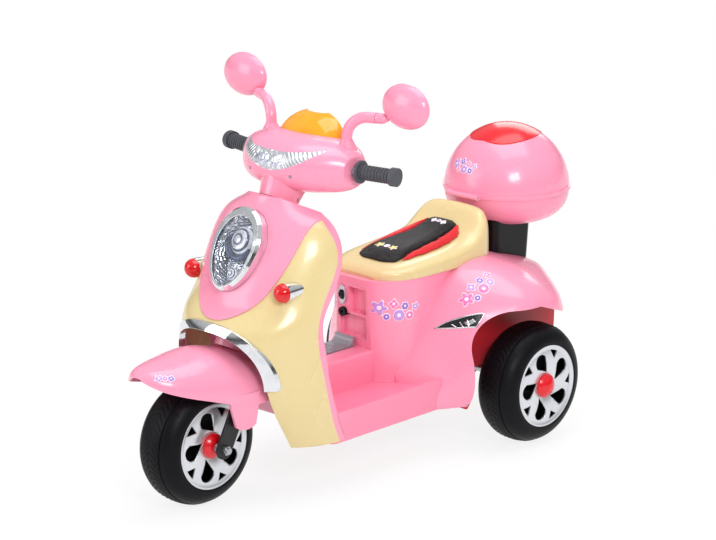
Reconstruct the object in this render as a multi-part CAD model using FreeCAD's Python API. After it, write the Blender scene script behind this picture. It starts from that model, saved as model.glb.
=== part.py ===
import FreeCAD, Part
import math
import os
from FreeCAD import Vector

# Child's three-wheeled electric motorbike, in millimetres and degrees.
# X points forward, Y to the rider's left and Z up, with the floor at zero.

# Driving sizes of the whole vehicle
wheelbase = 680
front_overhang = 140
rear_overhang = 289
wheel_radius = 116
half_track = 204
rake_angle = 27

# Fits shared by all pieces
wall = 3
clearance = 0.3
running_clearance = 0.06
overrun = 6
curve_points = 9
loop_points = 12
full_turn = 360

# Wheels, all three alike
tyre_half_width = 46
tread_half_width = 21
crown_drop = 2
groove_width = 3
groove_depth = 4
shoulder_bulge = 5
bead_radius = 86
rim_radius = 80
rim_seat_depth = 8
well_radius = 73
web_half_width = 7
hub_radius = 18
hub_half_length = 36
axle_radius = 6
rim_thickness = 5
rim_lip = 4
rim_crown = 3
rim_bore_radius = 11
window_count = 5
window_radius = 16
window_reach = 52
window_tip = 27
window_swirl = 24
notch_outer = 71
notch_inner = 54
notch_angle = 9
notch_lean = 4
cap_radius = 23
cap_height = 15
cap_rim = 4
cap_pocket_radius = 13
cap_pocket_depth = 11
nut_sides = 6
nut_radius = 9
nut_thickness = 8
sleeve_radius = 9

# Front fork, in the steering frame: U forward, Y left, W up along the steering axis
blade_offset = 72
blade_thickness = 4
blade_width = 36
blade_top_width = 38
crown_height = 127
crown_thickness = 7
shaft_radius = 11
shaft_top = 545
axle_stub = 12

# Front mudguard
mudguard_length = 255
mudguard_half_width = 95
mudguard_edge_height = 263
mudguard_edge_fall = 71
mudguard_top_height = 297
mudguard_top_fall = 28
mudguard_power = 0.9
leg_top_height = 216
leg_bottom_height = 156
leg_front = 6
leg_brow = 26
leg_hollow = 24
leg_rear = 70
leg_taper = 11
leg_round = 7
leg_thickness = 13
column_radius = 27
column_bottom = 176
column_top = 214

# Leg shield, nose panel and arch trim
shield_bottom = 96
shield_height = 446
shield_half_width = 151
shield_setback = 170
shield_sweep = 60
shield_depth = 150
shield_power = 0.95
inner_bow = 16
inner_power = 0.6
collar_height = 458
collar_thickness = 4
nose_rise = 2.5
nose_half_width = 109
nose_bottom = 336
nose_height = 230
arch_half_width = 110
arch_spring = 218
arch_height = 98
arch_power = 0.8
trim_width = 15
trim_rise = 5
trim_depth = 7

# Headlamp in the nose, in the steering frame
lamp_centre = 347
lamp_face = 72
lamp_half_height = 79
lamp_half_width = 57
lamp_depth = 34
lamp_egg_share = 0.12
bezel_border = 13
bezel_drop = 5
bezel_step = 5
reflector_floor = 4
lens_bulge = 7
lens_wall = 2
projector_radius = 27
projector_rise = 18
projector_length = 12
pilot_radius = 12
pilot_drop = 44
pilot_length = 10

# Turn signals on the leg shield
signal_offset = 117
signal_height = 394
signal_setback = 106
signal_radius = 18
stalk_length = 66
stalk_tail_radius = 9

# Steering head inside the leg shield
tube_radius = 20
tube_bore = 15
tube_bottom = 222
bush_length = 24
tube_web = 8

# Footboard
skirt_bottom = 92
skirt_height = 60
skirt_half_width = 152
skirt_draft = 5
floor_height = 141
board_front = 198
board_rear = 532
lip_width = 9
pocket_round = 18
tunnel_half_width = 50
tunnel_top = 205
tunnel_round = 5
tunnel_front = 198

# Accelerator pedal, sunk in the top of the tunnel on the right foot's side
pedal_front = 298
pedal_rear = 398
pedal_right = 42
pedal_left = 6
pedal_thickness = 6
pedal_rise = 3
pedal_pocket_depth = 14
pedal_gap = 2
pedal_heel_gap = 6
pedal_curl = 16
pedal_rib_count = 6
pedal_rib_depth = 1.5
pedal_pin_radius = 2.5
pedal_pin_inset = 10
pedal_pin_drop = 6
pedal_pin_reach = 2.5
pedal_boss_radius = 5

# Rear body: pedestal, haunches and wheel arches
pedestal_reach = 272
pedestal_depth = 292
pedestal_half_width = 97
pedestal_height = 248
pedestal_lean = 8
haunch_reach = 242
haunch_length = 434
haunch_half_width = 240
haunch_height = 258
arch_reach = 144
arch_top = 274
arch_corner = 80
arch_flat = 8
arch_drop_reach = 70
arch_drop = 28
liner_wall = 2.5
well_offset = 140
well_bottom = 150
far_reach = 400
hatch_half_width = 38
hatch_bottom = 218
hatch_height = 106
hatch_depth = 14
hatch_border = 4
hatch_split = 52
hatch_pocket = 8
switch_offset = 24
switch_height = 302
switch_half_width = 9
switch_half_height = 19
switch_plate_rise = 2
rocker_half_width = 5
rocker_half_height = 9
rocker_rise = 5
rocker_depth = 10
socket_height = 268
socket_radius = 7
socket_flange = 9
socket_depth = 16
socket_bore = 3
vent_reach = 142
vent_length = 66
vent_height = 256
vent_rise = 32
vent_depth = 5

# Seat
seat_front = 266
seat_length = 300
seat_base_height = 340
seat_rise = 92
seat_half_width = 99
seat_power = 0.45
pad_front = 226
pad_length = 206
pad_half_width = 70
pad_bottom = 352
pad_rise = 60
pad_power = 0.6
centre_half_width = 44
centre_taper = 8
seam_gap = 0.6

# Top box and its mount
box_radius = 127
box_bottom = 371
box_seam = 443
box_top = 566
box_wall = 3
bead_rise = 3
bead_height = 4
tub_power = 0.75
lid_power = 1.02
insert_front = 72
insert_rear = 104
insert_half_width = 66
insert_rise = 1.5
insert_depth = 3
knuckle_radius = 5
knuckle_outset = 4
knuckle_half_length = 40
knuckle_split = 17
pin_radius = 2.2
mount_front = 70
mount_length = 118
mount_half_width = 56
mount_round = 16
mount_flare = 6
mount_bottom = 280

# Head of the handlebar, fixed to the steering shaft
head_height = 594
head_setback = 262
head_half_width = 128
head_half_length = 80
head_half_height = 50
head_power = 0.85
head_split = 584
neck_radius = 37
neck_flare = 12
neck_gap = 1.5
neck_top = 506
eye_half_width = 98
eye_bottom = 587
eye_tip = 628
eye_top = 622
eye_lens = 4
screen_base = 616
screen_height = 58
screen_half_width = 76
screen_depth = 68
screen_setback = 306
screen_wall = 2
screen_power = 0.9
bar_setback = 270
bar_height = 589
bar_radius = 9
bar_bend = 95
bar_reach = 210
bar_sweep = 11
clamp_half_width = 20
clamp_half_height = 14
clamp_front = 236
clamp_rear = 284
grip_start = 44
grip_length = 80
grip_radius = 14
grip_flange = 21
grip_flange_length = 5
grip_end_radius = 17
grip_end_length = 12
grip_rib_count = 9
grip_rib_depth = 1.5

# Mirrors
mirror_setback = 328
mirror_offset = 206
mirror_height = 711
mirror_half_width = 55
mirror_half_height = 41
mirror_depth = 26
mirror_span = 84
mirror_glass = 2
mirror_border = 4
arm_base_setback = 287
arm_base_offset = 97
arm_base_height = 622
arm_bend = 40
arm_radius = 10
spigot_radius = 5
spigot_length = 24
spigot_height = 684
spigot_inset = 36

# Drive and power, inside the body
battery_length = 62
battery_half_width = 72
battery_height = 94
tray_wall = 4
carrier_half_gap = 58
carrier_plate = 4
carrier_half_length = 46
carrier_boss = 17
gearbox_width = 46
gearbox_radius = 40
gearbox_motor_reach = 52
gearbox_motor_rise = 34
gearbox_motor_radius = 30
motor_radius = 20
motor_length = 62

# Worked-out places
front_axle_x = (wheelbase + rear_overhang - front_overhang) / 2
rear_axle_x = front_axle_x - wheelbase
axle_z = wheel_radius
board_x0 = front_axle_x - board_rear
board_x1 = front_axle_x - board_front
pedal_x0 = front_axle_x - pedal_rear
pedal_x1 = front_axle_x - pedal_front
across = Vector(0, 1, 0)
forward = Vector(1, 0, 0)
upward = Vector(0, 0, 1)
box_x = rear_axle_x - rear_overhang + box_radius

# Levels of the leg shield: height, sweep of the edge, half width and bow
shield_shares = (
    (0.00, 0.95, 0.99, 0.54),
    (0.14, 0.55, 1.00, 0.79),
    (0.28, 0.25, 1.00, 0.98),
    (0.41, 0.07, 1.00, 0.98),
    (0.525, 0.00, 0.99, 0.89),
    (0.575, 0.15, 0.99, 0.75),
    (0.65, 0.52, 0.99, 0.63),
    (0.725, 0.75, 0.987, 0.52),
    (0.787, 0.86, 0.97, 0.42),
    (0.86, 0.88, 0.895, 0.295),
    (0.92, 0.82, 0.74, 0.19),
    (0.96, 0.72, 0.53, 0.105),
    (1.00, 0.60, 0.33, 0.04),
)
# Nose panel outline: half width and height above its bottom
nose_shares = ((1, 1), (1, 0.63), (0.96, 0.47), (0.89, 0.34), (0.72, 0.17), (0.44, 0.055), (0.22, 0.013))
# Mudguard: place along it, half width, fall of the edge and fall of the top
mudguard_shares = (
    (0.00, 0.15, 0.00, 1.00),
    (0.055, 0.40, 0.18, 0.71),
    (0.176, 0.65, 0.38, 0.50),
    (0.353, 0.815, 0.59, 0.32),
    (0.549, 0.91, 0.82, 0.20),
    (0.706, 0.97, 0.98, 0.46),
    (0.863, 1.00, 1.00, 0.82),
    (1.00, 0.95, 0.82, 1.22),
)
# Pedestal plans: height, lean, and half width at the front, hip and flank with hip and flank setbacks
pedestal_shares = (
    (0.00, 0.0, 0.47, 0.81, 0.116, 0.93, 0.38),
    (0.50, 0.2, 0.46, 0.81, 0.116, 0.93, 0.38),
    (1.00, 1.0, 0.37, 0.78, 0.116, 0.97, 0.38),
)
# Haunches: place along the body, then half widths of sill, waist, shoulder and crown, then heights of
# waist, shoulder, crown and top
haunch_shares = (
    (0.000, 0.342, 0.342, 0.292, 0.167, 0.186, 0.275, 0.306, 0.310),
    (0.074, 0.575, 0.558, 0.417, 0.250, 0.186, 0.380, 0.465, 0.481),
    (0.154, 0.667, 0.683, 0.558, 0.367, 0.225, 0.477, 0.632, 0.659),
    (0.235, 0.750, 0.817, 0.683, 0.417, 0.302, 0.612, 0.791, 0.818),
    (0.339, 0.833, 0.925, 0.775, 0.458, 0.477, 0.760, 0.938, 0.965),
    (0.454, 0.883, 0.992, 0.817, 0.479, 0.643, 0.853, 0.981, 1.000),
    (0.569, 0.892, 1.000, 0.817, 0.479, 0.659, 0.860, 0.969, 0.992),
    (0.684, 0.854, 0.979, 0.812, 0.479, 0.597, 0.798, 0.915, 0.938),
    (0.800, 0.717, 0.825, 0.692, 0.438, 0.554, 0.760, 0.860, 0.884),
    (0.903, 0.508, 0.592, 0.500, 0.354, 0.527, 0.729, 0.814, 0.833),
    (1.000, 0.300, 0.350, 0.308, 0.217, 0.516, 0.682, 0.752, 0.767),
)
# Seat base: place along it, half width and rise
seat_shares = (
    (0.000, 0.444, 0.065),
    (0.032, 0.626, 0.163),
    (0.130, 0.869, 0.24),
    (0.304, 0.980, 0.304),
    (0.494, 1.000, 0.36),
    (0.668, 0.990, 0.435),
    (0.778, 0.980, 0.565),
    (0.858, 0.960, 0.815),
    (0.911, 0.890, 0.978),
    (0.962, 0.780, 0.99),
    (1.000, 0.640, 0.85),
)
# Seat pad: place along it, half width and rise
pad_shares = (
    (0.00, 0.37, 0.23),
    (0.072, 0.73, 0.36),
    (0.278, 0.93, 0.50),
    (0.536, 1.00, 0.59),
    (0.768, 0.97, 0.714),
    (0.928, 0.87, 0.893),
    (1.00, 0.67, 1.00),
)
# Lid insert: forward reach, rearward reach and half width
insert_shares = ((1, 0, 0), (0.72, 0, 0.8), (0, 0, 1), (0, 0.6, 0.55), (0, 1, 0))
# Handlebar head: place across it, setback, drop, length and height
head_shares = (
    (0.00, 0.000, 0.00, 1.00, 1.00),
    (0.42, 0.025, 0.04, 0.96, 1.00),
    (0.72, 0.112, 0.08, 0.775, 0.88),
    (0.91, 0.162, 0.12, 0.525, 0.72),
    (1.00, 0.187, 0.12, 0.375, 0.54),
)
# Head lamp outline: half width and rise from its bottom, from the left tip down to the middle
eye_lower_shares = ((1, 1), (0.72, 0.52), (0.36, 0.14), (0, 0))
# Windscreen: height, half width, bow and setback of its edge
screen_shares = (
    (0.0, 1.0, 1.0, 0.0),
    (0.38, 0.95, 0.84, 0.02),
    (0.68, 0.81, 0.62, 0.05),
    (0.88, 0.60, 0.41, 0.08),
    (1.0, 0.36, 0.22, 0.11),
)


def spline(points):
    """Smooth open edge through the points."""
    curve = Part.BSplineCurve()
    curve.interpolate(points)
    return curve.toShape()


def ring(points):
    """Smooth closed wire through the points."""
    curve = Part.BSplineCurve()
    curve.interpolate(Points=points, PeriodicFlag=True)
    return Part.Wire([curve.toShape()])


def curve_through(points, places):
    """Smooth curve that meets each point at its place along the curve."""
    curve = Part.BSplineCurve()
    curve.interpolate(Points=points, Parameters=places)
    return curve


def spacing(rows):
    """Place of each row along a surface, by the mean distance between rows."""
    steps = [sum((a - b).Length for a, b in zip(row, after)) for row, after in zip(rows, rows[1:])]
    return [sum(steps[:i]) / sum(steps) for i in range(len(rows))]


def surface(rows, along):
    """Smooth surface through rows of points."""
    last = len(rows[0]) - 1
    lines = [curve_through(row, [i / last for i in range(last + 1)]) for row in rows]
    ribs = [curve_through(list(points), along) for points in zip(*[line.getPoles() for line in lines])]
    poles = [list(row) for row in zip(*[rib.getPoles() for rib in ribs])]
    counts = (ribs[0].getMultiplicities(), lines[0].getMultiplicities())
    knots = (ribs[0].getKnots(), lines[0].getKnots())
    face = Part.BSplineSurface()
    face.buildFromPolesMultsKnots(poles, *counts, *knots, False, False, ribs[0].Degree, lines[0].Degree)
    return face


def borders(face):
    """First row, last row, first column and last column of a surface."""
    u0, u1, v0, v1 = face.bounds()
    return [curve.toShape() for curve in (face.uIso(u0), face.uIso(u1), face.vIso(v0), face.vIso(v1))]


def between(first, second):
    """Faces between two border edges: none where they meet, flat where only their ends do."""
    if (first.CenterOfMass - second.CenterOfMass).Length < clearance:
        return []
    if (first.firstVertex().Point - second.firstVertex().Point).Length < clearance:
        return [Part.Face(Part.Wire([first, second]))]
    return [Part.makeRuledSurface(first, second)]


def solid_of(faces):
    """Solid inside faces that meet along their edges."""
    shell = Part.Shell(faces)
    shell.sewShape()
    solid = Part.Solid(shell)
    if solid.Volume < 0:
        solid.reverse()
    return solid


def skin(outer, inner):
    """Solid between two smooth surfaces given as rows of points."""
    pair = [surface(rows, spacing(outer)) for rows in (outer, inner)]
    sides = [face for a, b in zip(borders(pair[0]), borders(pair[1])) for face in between(a, b)]
    return solid_of([face.toShape() for face in pair] + sides)


def covered(rows):
    """Solid under a smooth surface, closed straight across between its side borders."""
    top = surface(rows, spacing(rows))
    first, last, right, left = borders(top)
    faces = [top.toShape(), Part.makeRuledSurface(right, left)]
    for edge in (first, last):
        across_line = Part.makeLine(edge.valueAt(edge.LastParameter), edge.valueAt(edge.FirstParameter))
        faces.append(Part.Face(Part.Wire([edge, across_line])))
    return solid_of(faces)


def chain(start, *moves):
    """Closed wire of lines, and of arcs where a move is a pair of a point on the arc and its end."""
    edges = []
    here = start
    for move in moves:
        if isinstance(move, tuple):
            edges.append(Part.Arc(here, move[0], move[1]).toShape())
            here = move[1]
        else:
            edges.append(Part.makeLine(here, move))
            here = move
    if (here - start).Length > running_clearance:
        edges.append(Part.makeLine(here, start))
    return Part.Wire(edges)


def prism(wire, along):
    """Solid swept straight from a flat closed wire."""
    return Part.Face(wire).extrude(along)


def turned(wire, axis=across):
    """Solid of revolution of a flat closed wire about an axis through the origin."""
    solid = Part.Face(wire).revolve(Vector(), axis, full_turn)
    if solid.Volume < 0:
        solid.reverse()
    return solid


def loft(wires):
    """Smooth solid through closed wires."""
    return Part.makeLoft(wires, True, False)


def rod(radius, start, along):
    """Cylinder from a start point along a vector."""
    return Part.makeCylinder(radius, along.Length, start, along)


def block(x0, x1, y0, y1, z0, z1):
    """Box between two corners."""
    return Part.makeBox(x1 - x0, y1 - y0, z1 - z0, Vector(x0, y0, z0))


def joined(first, *others):
    """One solid from several that touch or overlap."""
    return first.fuse(list(others)).removeSplitter()


def mirrored(shape):
    """The same piece on the other side of the middle plane."""
    return shape.mirror(Vector(), across)


def moved(shape, x=0, y=0, z=0):
    """Copy of a shape at another place."""
    copy = shape.copy()
    copy.translate(Vector(x, y, z))
    return copy


def steered(shape):
    """Places a shape drawn in the steering frame, whose origin is the front axle."""
    copy = shape.copy()
    copy.rotate(Vector(), across, -rake_angle)
    copy.translate(Vector(front_axle_x, 0, axle_z))
    return copy


def largest(shape):
    """The biggest solid of a shape that a cut has divided."""
    return max(shape.Solids, key=lambda solid: solid.Volume)


def save(name, *shapes):
    """Writes the solids of one node."""
    solids = [solid for shape in shapes for solid in shape.Solids]
    whole = solids[0] if len(solids) == 1 else Part.makeCompound(solids)
    whole.exportStep("parts/" + name + ".step")


def bow(edge, half_width, depth, power):
    """Pairs of outward and sideways places on a bowed outline, from its right edge to its left edge."""
    pairs = []
    for i in range(curve_points):
        angle = math.pi * (i / (curve_points - 1) - 1 / 2)
        side = math.copysign(abs(math.sin(angle)) ** power, angle)
        lift = math.sqrt(max(0, 1 - math.sin(angle) ** 2)) ** power
        pairs.append((edge + depth * lift, half_width * side))
    return pairs


def level(z, pairs):
    """Points of a bow that lies flat at a height."""
    return [Vector(out, side, z) for out, side in pairs]


def upright(x, pairs):
    """Points of a bow that stands across the vehicle."""
    return [Vector(x, side, out) for out, side in pairs]


def closed(points):
    """Wire of a spline and the line between its ends."""
    return Part.Wire([spline(points), Part.makeLine(points[-1], points[0])])


def superellipse(half_length, half_height, power, place):
    """Smooth closed wire of a rounded box outline, each point set by the place function."""
    points = []
    for i in range(loop_points):
        angle = 2 * math.pi * i / loop_points
        lengthwise = math.copysign(abs(math.cos(angle)) ** power, math.cos(angle))
        sideways = math.copysign(abs(math.sin(angle)) ** power, math.sin(angle))
        points.append(place(half_length * lengthwise, half_height * sideways))
    return ring(points)


def rounded_plan(x0, x1, half_width, corner, z):
    """Closed flat wire of a rectangle with round corners at a height."""
    bite = corner * (1 - math.sqrt(1 / 2))
    return chain(
        Vector(x0 + corner, -half_width, z),
        Vector(x1 - corner, -half_width, z),
        (Vector(x1 - bite, bite - half_width, z), Vector(x1, corner - half_width, z)),
        Vector(x1, half_width - corner, z),
        (Vector(x1 - bite, half_width - bite, z), Vector(x1 - corner, half_width, z)),
        Vector(x0 + corner, half_width, z),
        (Vector(x0 + bite, half_width - bite, z), Vector(x0, half_width - corner, z)),
        Vector(x0, corner - half_width, z),
        (Vector(x0 + bite, bite - half_width, z), Vector(x0 + corner, -half_width, z)),
    )


# Wheels
seat_y = tyre_half_width - rim_seat_depth
cap_seat = hub_half_length + rim_thickness
bore_radius = axle_radius + running_clearance


def tyre():
    """Moulded wheel body: hollow-sided tyre, web and hub, turned about the axle."""
    shoulder = Vector(wheel_radius - crown_drop - groove_depth / 2, tread_half_width + groove_width)
    bead = Vector(bead_radius, tyre_half_width)
    chord = bead - shoulder
    bulge = Vector(chord.y, -chord.x).normalize() * shoulder_bulge
    half = (
        Vector(hub_radius, hub_half_length),
        Vector(hub_radius, web_half_width),
        Vector(well_radius, web_half_width),
        Vector(well_radius, seat_y),
        Vector(rim_radius, seat_y),
        Vector(rim_radius, tyre_half_width),
        bead,
    )
    groove = (
        Vector(wheel_radius - crown_drop - groove_depth, tread_half_width + groove_width / 2),
        Vector(wheel_radius - crown_drop, tread_half_width),
    )
    flip = FreeCAD.Matrix()
    flip.scale(1, -1, 1)
    mid = (shoulder + bead) / 2 + bulge
    other = [flip.multVec(point) for point in half[::-1]]
    wire = chain(
        Vector(bore_radius, -hub_half_length),
        Vector(bore_radius, hub_half_length),
        *half,
        (mid, shoulder),
        *groove,
        (Vector(wheel_radius, 0), flip.multVec(groove[1])),
        flip.multVec(groove[0]),
        flip.multVec(shoulder),
        (flip.multVec(mid), flip.multVec(bead)),
        *other[1:],
    )
    return turned(wire)


def spot(radius, angle, y):
    """Point on a wheel's face."""
    return Vector(radius * math.cos(math.radians(angle)), y, radius * math.sin(math.radians(angle)))


def window(angle):
    """Swirled teardrop opening of a rim cover."""
    y = hub_half_length - overrun
    centre = spot(window_reach, angle, y)
    tip = spot(window_tip, angle + window_swirl, y)
    way = (centre - tip).normalize() * window_radius
    side = way.cross(across)
    wire = chain(tip, centre + side, (centre + way, centre - side))
    return prism(wire, across * (tyre_half_width - y))


def notch(angle):
    """Small three-cornered opening beside the lip of a rim cover."""
    y = hub_half_length - overrun
    wire = chain(
        spot(notch_inner, angle + notch_lean, y),
        spot(notch_outer, angle - notch_angle, y),
        (spot(notch_outer, angle, y), spot(notch_outer, angle + notch_angle, y)),
    )
    return prism(wire, across * (tyre_half_width - y))


def rim_cover():
    """Crowned cover with five swirled windows and five notches, for the left side of a wheel."""
    face_edge = rim_radius - 2 * rim_lip
    crown = Vector((face_edge + cap_radius) / 2, seat_y + rim_thickness + rim_crown)
    wire = chain(
        Vector(rim_bore_radius, hub_half_length),
        Vector(hub_radius, hub_half_length),
        Vector(well_radius, seat_y),
        Vector(rim_radius, seat_y),
        Vector(rim_radius, tyre_half_width),
        Vector(rim_radius - rim_lip, tyre_half_width),
        Vector(face_edge, seat_y + rim_thickness),
        (crown, Vector(cap_radius, cap_seat)),
        Vector(rim_bore_radius, cap_seat),
    )
    cover = turned(wire)
    step = full_turn / window_count
    cuts = [window(step * i) for i in range(window_count)]
    cuts += [notch(step * (i + 1 / 2)) for i in range(window_count)]
    return cover.cut(cuts)


def domed(radius, base, brow, top):
    """Short cylinder along the axle whose outer end is a shallow dome."""
    rise = top - brow
    ball = (radius * radius + rise * rise) / (2 * rise)
    column = rod(radius, across * base, across * (top - base))
    return Part.makeSphere(ball, across * (top - ball)).common(column)


def hub_cap():
    """Domed cap with a pocket for the axle nut."""
    cap = domed(cap_radius, cap_seat, cap_seat + cap_rim, cap_seat + cap_height)
    return cap.cut(rod(cap_pocket_radius, across * cap_seat, across * cap_pocket_depth))


def nut(y):
    """Six-sided nut round the axle, starting at a place along it."""
    points = [spot(nut_radius, full_turn * i / nut_sides, y) for i in range(nut_sides)]
    return prism(chain(*points), across * nut_thickness)


def build_wheels():
    """Front wheel and the two rear wheels."""
    body = tyre()
    cover = rim_cover()
    covers = Part.makeCompound([cover, mirrored(cover)])
    cap = hub_cap()
    pierced = cap.cut(rod(sleeve_radius + clearance, Vector(), across * (cap_seat + cap_height + overrun)))
    places = (
        ("front", front_axle_x, 0),
        ("rear_left", rear_axle_x, half_track),
        ("rear_right", rear_axle_x, -half_track),
    )
    for name, x, y in places:
        save(name + "_tyre", moved(body, x, y, axle_z))
        save(name + "_rim_covers", moved(covers, x, y, axle_z))
        caps = {0: (pierced, mirrored(pierced)), half_track: (cap,), -half_track: (mirrored(cap),)}[y]
        save(name + "_hub_cap", *[moved(one, x, y, axle_z) for one in caps])


# Front fork and steering
def fork():
    """Crown, two blades bored for the axle and the steering shaft, welded up, in the steering frame."""
    reach = blade_width / 2
    spread = blade_top_width / 2
    inner = blade_offset - blade_thickness / 2
    outline = chain(
        Vector(-reach, inner, 0),
        Vector(-spread, inner, crown_height),
        Vector(spread, inner, crown_height),
        Vector(reach, inner, 0),
        (Vector(0, inner, -reach), Vector(-reach, inner, 0)),
    )
    blade = prism(outline, across * blade_thickness)
    crown = block(-spread, spread, -inner, inner, crown_height - crown_thickness, crown_height)
    hole = rod(axle_radius, Vector(0, -blade_offset - overrun, 0), across * 2 * (blade_offset + overrun))
    return joined(blade, mirrored(blade), crown, steering_shaft()).cut(hole)


def steering_shaft():
    """Round bar standing on the fork crown, in the steering frame."""
    return rod(shaft_radius, Vector(0, 0, crown_height), upward * (shaft_top - crown_height))


def mudguard():
    """Arched shell over the front wheel with fork covers and a column sleeve."""
    outer = []
    inner = []
    for place, width, edge_fall, top_fall in mudguard_shares:
        x = front_axle_x + front_overhang - place * mudguard_length
        edge = mudguard_edge_height - edge_fall * mudguard_edge_fall
        depth = mudguard_top_height - top_fall * mudguard_top_fall - edge
        half_width = width * mudguard_half_width
        outer.append(upright(x, bow(edge, half_width, depth, mudguard_power)))
        inner.append(upright(x, bow(edge, half_width - wall, depth - wall, mudguard_power)))
    shell = skin(outer, inner)
    inner_y = mudguard_half_width - leg_thickness
    low = leg_bottom_height
    front = front_axle_x - leg_front
    rear = front_axle_x - leg_rear
    brow = Vector(front + leg_brow, inner_y, leg_top_height - leg_hollow / 6)
    turn = Vector(front, inner_y, leg_top_height - leg_hollow)
    bend = Vector(front + leg_brow / 4, inner_y, leg_top_height - leg_hollow / 3)
    outline = chain(
        Vector(front + leg_brow, inner_y, leg_top_height),
        brow,
        (bend, turn),
        Vector(front - leg_taper, inner_y, low),
        (Vector((front + rear) / 2, inner_y, low - leg_round), Vector(rear + leg_taper, inner_y, low)),
        Vector(rear, inner_y, leg_top_height),
    )
    side = [Vector(row[-1].x, row[-1].y - clearance, low - 2 * leg_round) for row in outer]
    far = [Vector(point.x, 0, point.z) for point in (side[-1], side[0])]
    lines = [Part.makeLine(a, b) for a, b in zip([side[-1]] + far, far + [side[0]])]
    plan = Part.Wire([spline(side)] + lines)
    leg = prism(outline, across * leg_thickness).common(prism(plan, upward * mudguard_top_height))
    column = steered(rod(column_radius, Vector(0, 0, column_bottom), upward * (column_top - column_bottom)))
    whole = joined(shell, leg, mirrored(leg), column)
    return whole.cut(steered(fork()))


def build_front():
    """Fork, mudguard, axle, spacers and nuts."""
    save("fork", steered(fork()))
    save("front_mudguard", mudguard())
    outer = blade_offset + blade_thickness / 2
    half = outer + axle_stub
    axle = rod(axle_radius, Vector(0, -half, 0), across * 2 * half)
    save("front_axle", moved(axle, front_axle_x, 0, axle_z))
    sleeve_end = blade_offset - blade_thickness / 2
    start = hub_half_length + clearance
    sleeve = rod(sleeve_radius, Vector(0, start, 0), across * (sleeve_end - start))
    sleeve = sleeve.cut(axle)
    fixing = nut(outer).cut(axle)
    pieces = (sleeve, mirrored(sleeve), fixing, mirrored(fixing))
    save("front_axle_fasteners", *[moved(piece, front_axle_x, 0, axle_z) for piece in pieces])


# Leg shield
def shield_level(row):
    """Height, edge place, half width and bow of one level."""
    height, sweep, width, depth = row
    z = shield_bottom + height * shield_height
    edge = front_axle_x - shield_setback - sweep * shield_sweep
    return z, edge, width * shield_half_width, sweep * shield_sweep + depth * shield_depth


def shield_rows(inset):
    """Rows of points over the bowed front, drawn in by an inset."""
    rows = []
    for row in shield_shares:
        z, edge, half_width, out = shield_level(row)
        rows.append(level(z, bow(edge, half_width - inset, out - inset, shield_power)))
    return rows


def inner_rows(inset):
    """Rows of points over the shallow rear of the leg shield, drawn in by an inset."""
    rows = []
    for row in shield_shares:
        z, edge, half_width, _ = shield_level(row)
        rows.append(level(z, bow(edge, half_width - inset, inset - inner_bow, inner_power)))
    return rows


def shield_shell(rise, depth):
    """Bowed front shell, raised outwards and reaching a depth inwards."""
    return skin(shield_rows(-rise), shield_rows(depth))


def shield_block(inset):
    """Solid within the front and rear walls, drawn in by an inset."""
    return skin(shield_rows(inset), inner_rows(inset))


def arch_prism(grow):
    """Round-topped opening for the front wheel, as a cutter along the vehicle."""
    half_width = arch_half_width + grow
    top = upright(0, bow(arch_spring, half_width, arch_height + grow, arch_power))
    foot = shield_bottom - overrun
    feet = (Vector(0, half_width, foot), Vector(0, -half_width, foot))
    sides = [Part.makeLine(a, b) for a, b in ((top[-1], feet[0]), (feet[0], feet[1]), (feet[1], top[0]))]
    return prism(Part.Wire([spline(top)] + sides), forward * wheelbase)


def nose_prism():
    """Shield-shaped outline of the nose panel, as a cutter along the vehicle."""
    left = [Vector(0, w * nose_half_width, nose_bottom + h * nose_height) for w, h in nose_shares]
    right = [Vector(0, -point.y, point.z) for point in left[::-1]]
    return prism(closed(left + [Vector(0, 0, nose_bottom)] + right), forward * wheelbase)


def above_collar():
    """Everything above the plane on which the neck turns."""
    reach = shield_height
    return steered(block(-reach, reach, -reach, reach, collar_height, collar_height + reach))


def egg(u, grow, drop=0):
    """Egg-shaped wire across the headlamp at a place along its axis, lowered by a drop."""
    half_height = lamp_half_height + grow
    half_width = lamp_half_width + grow
    points = []
    for i in range(loop_points):
        angle = 2 * math.pi * i / loop_points
        swell = 1 + lamp_egg_share * math.sin(angle)
        rise = lamp_centre - drop + half_height * math.sin(angle)
        points.append(Vector(u, half_width * swell * math.cos(angle), rise))
    return ring(points)


def egg_prism(grow, start, end, drop=0):
    """Straight solid with the headlamp's outline, lowered by a drop."""
    return prism(egg(start, grow, drop), forward * (end - start))


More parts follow.
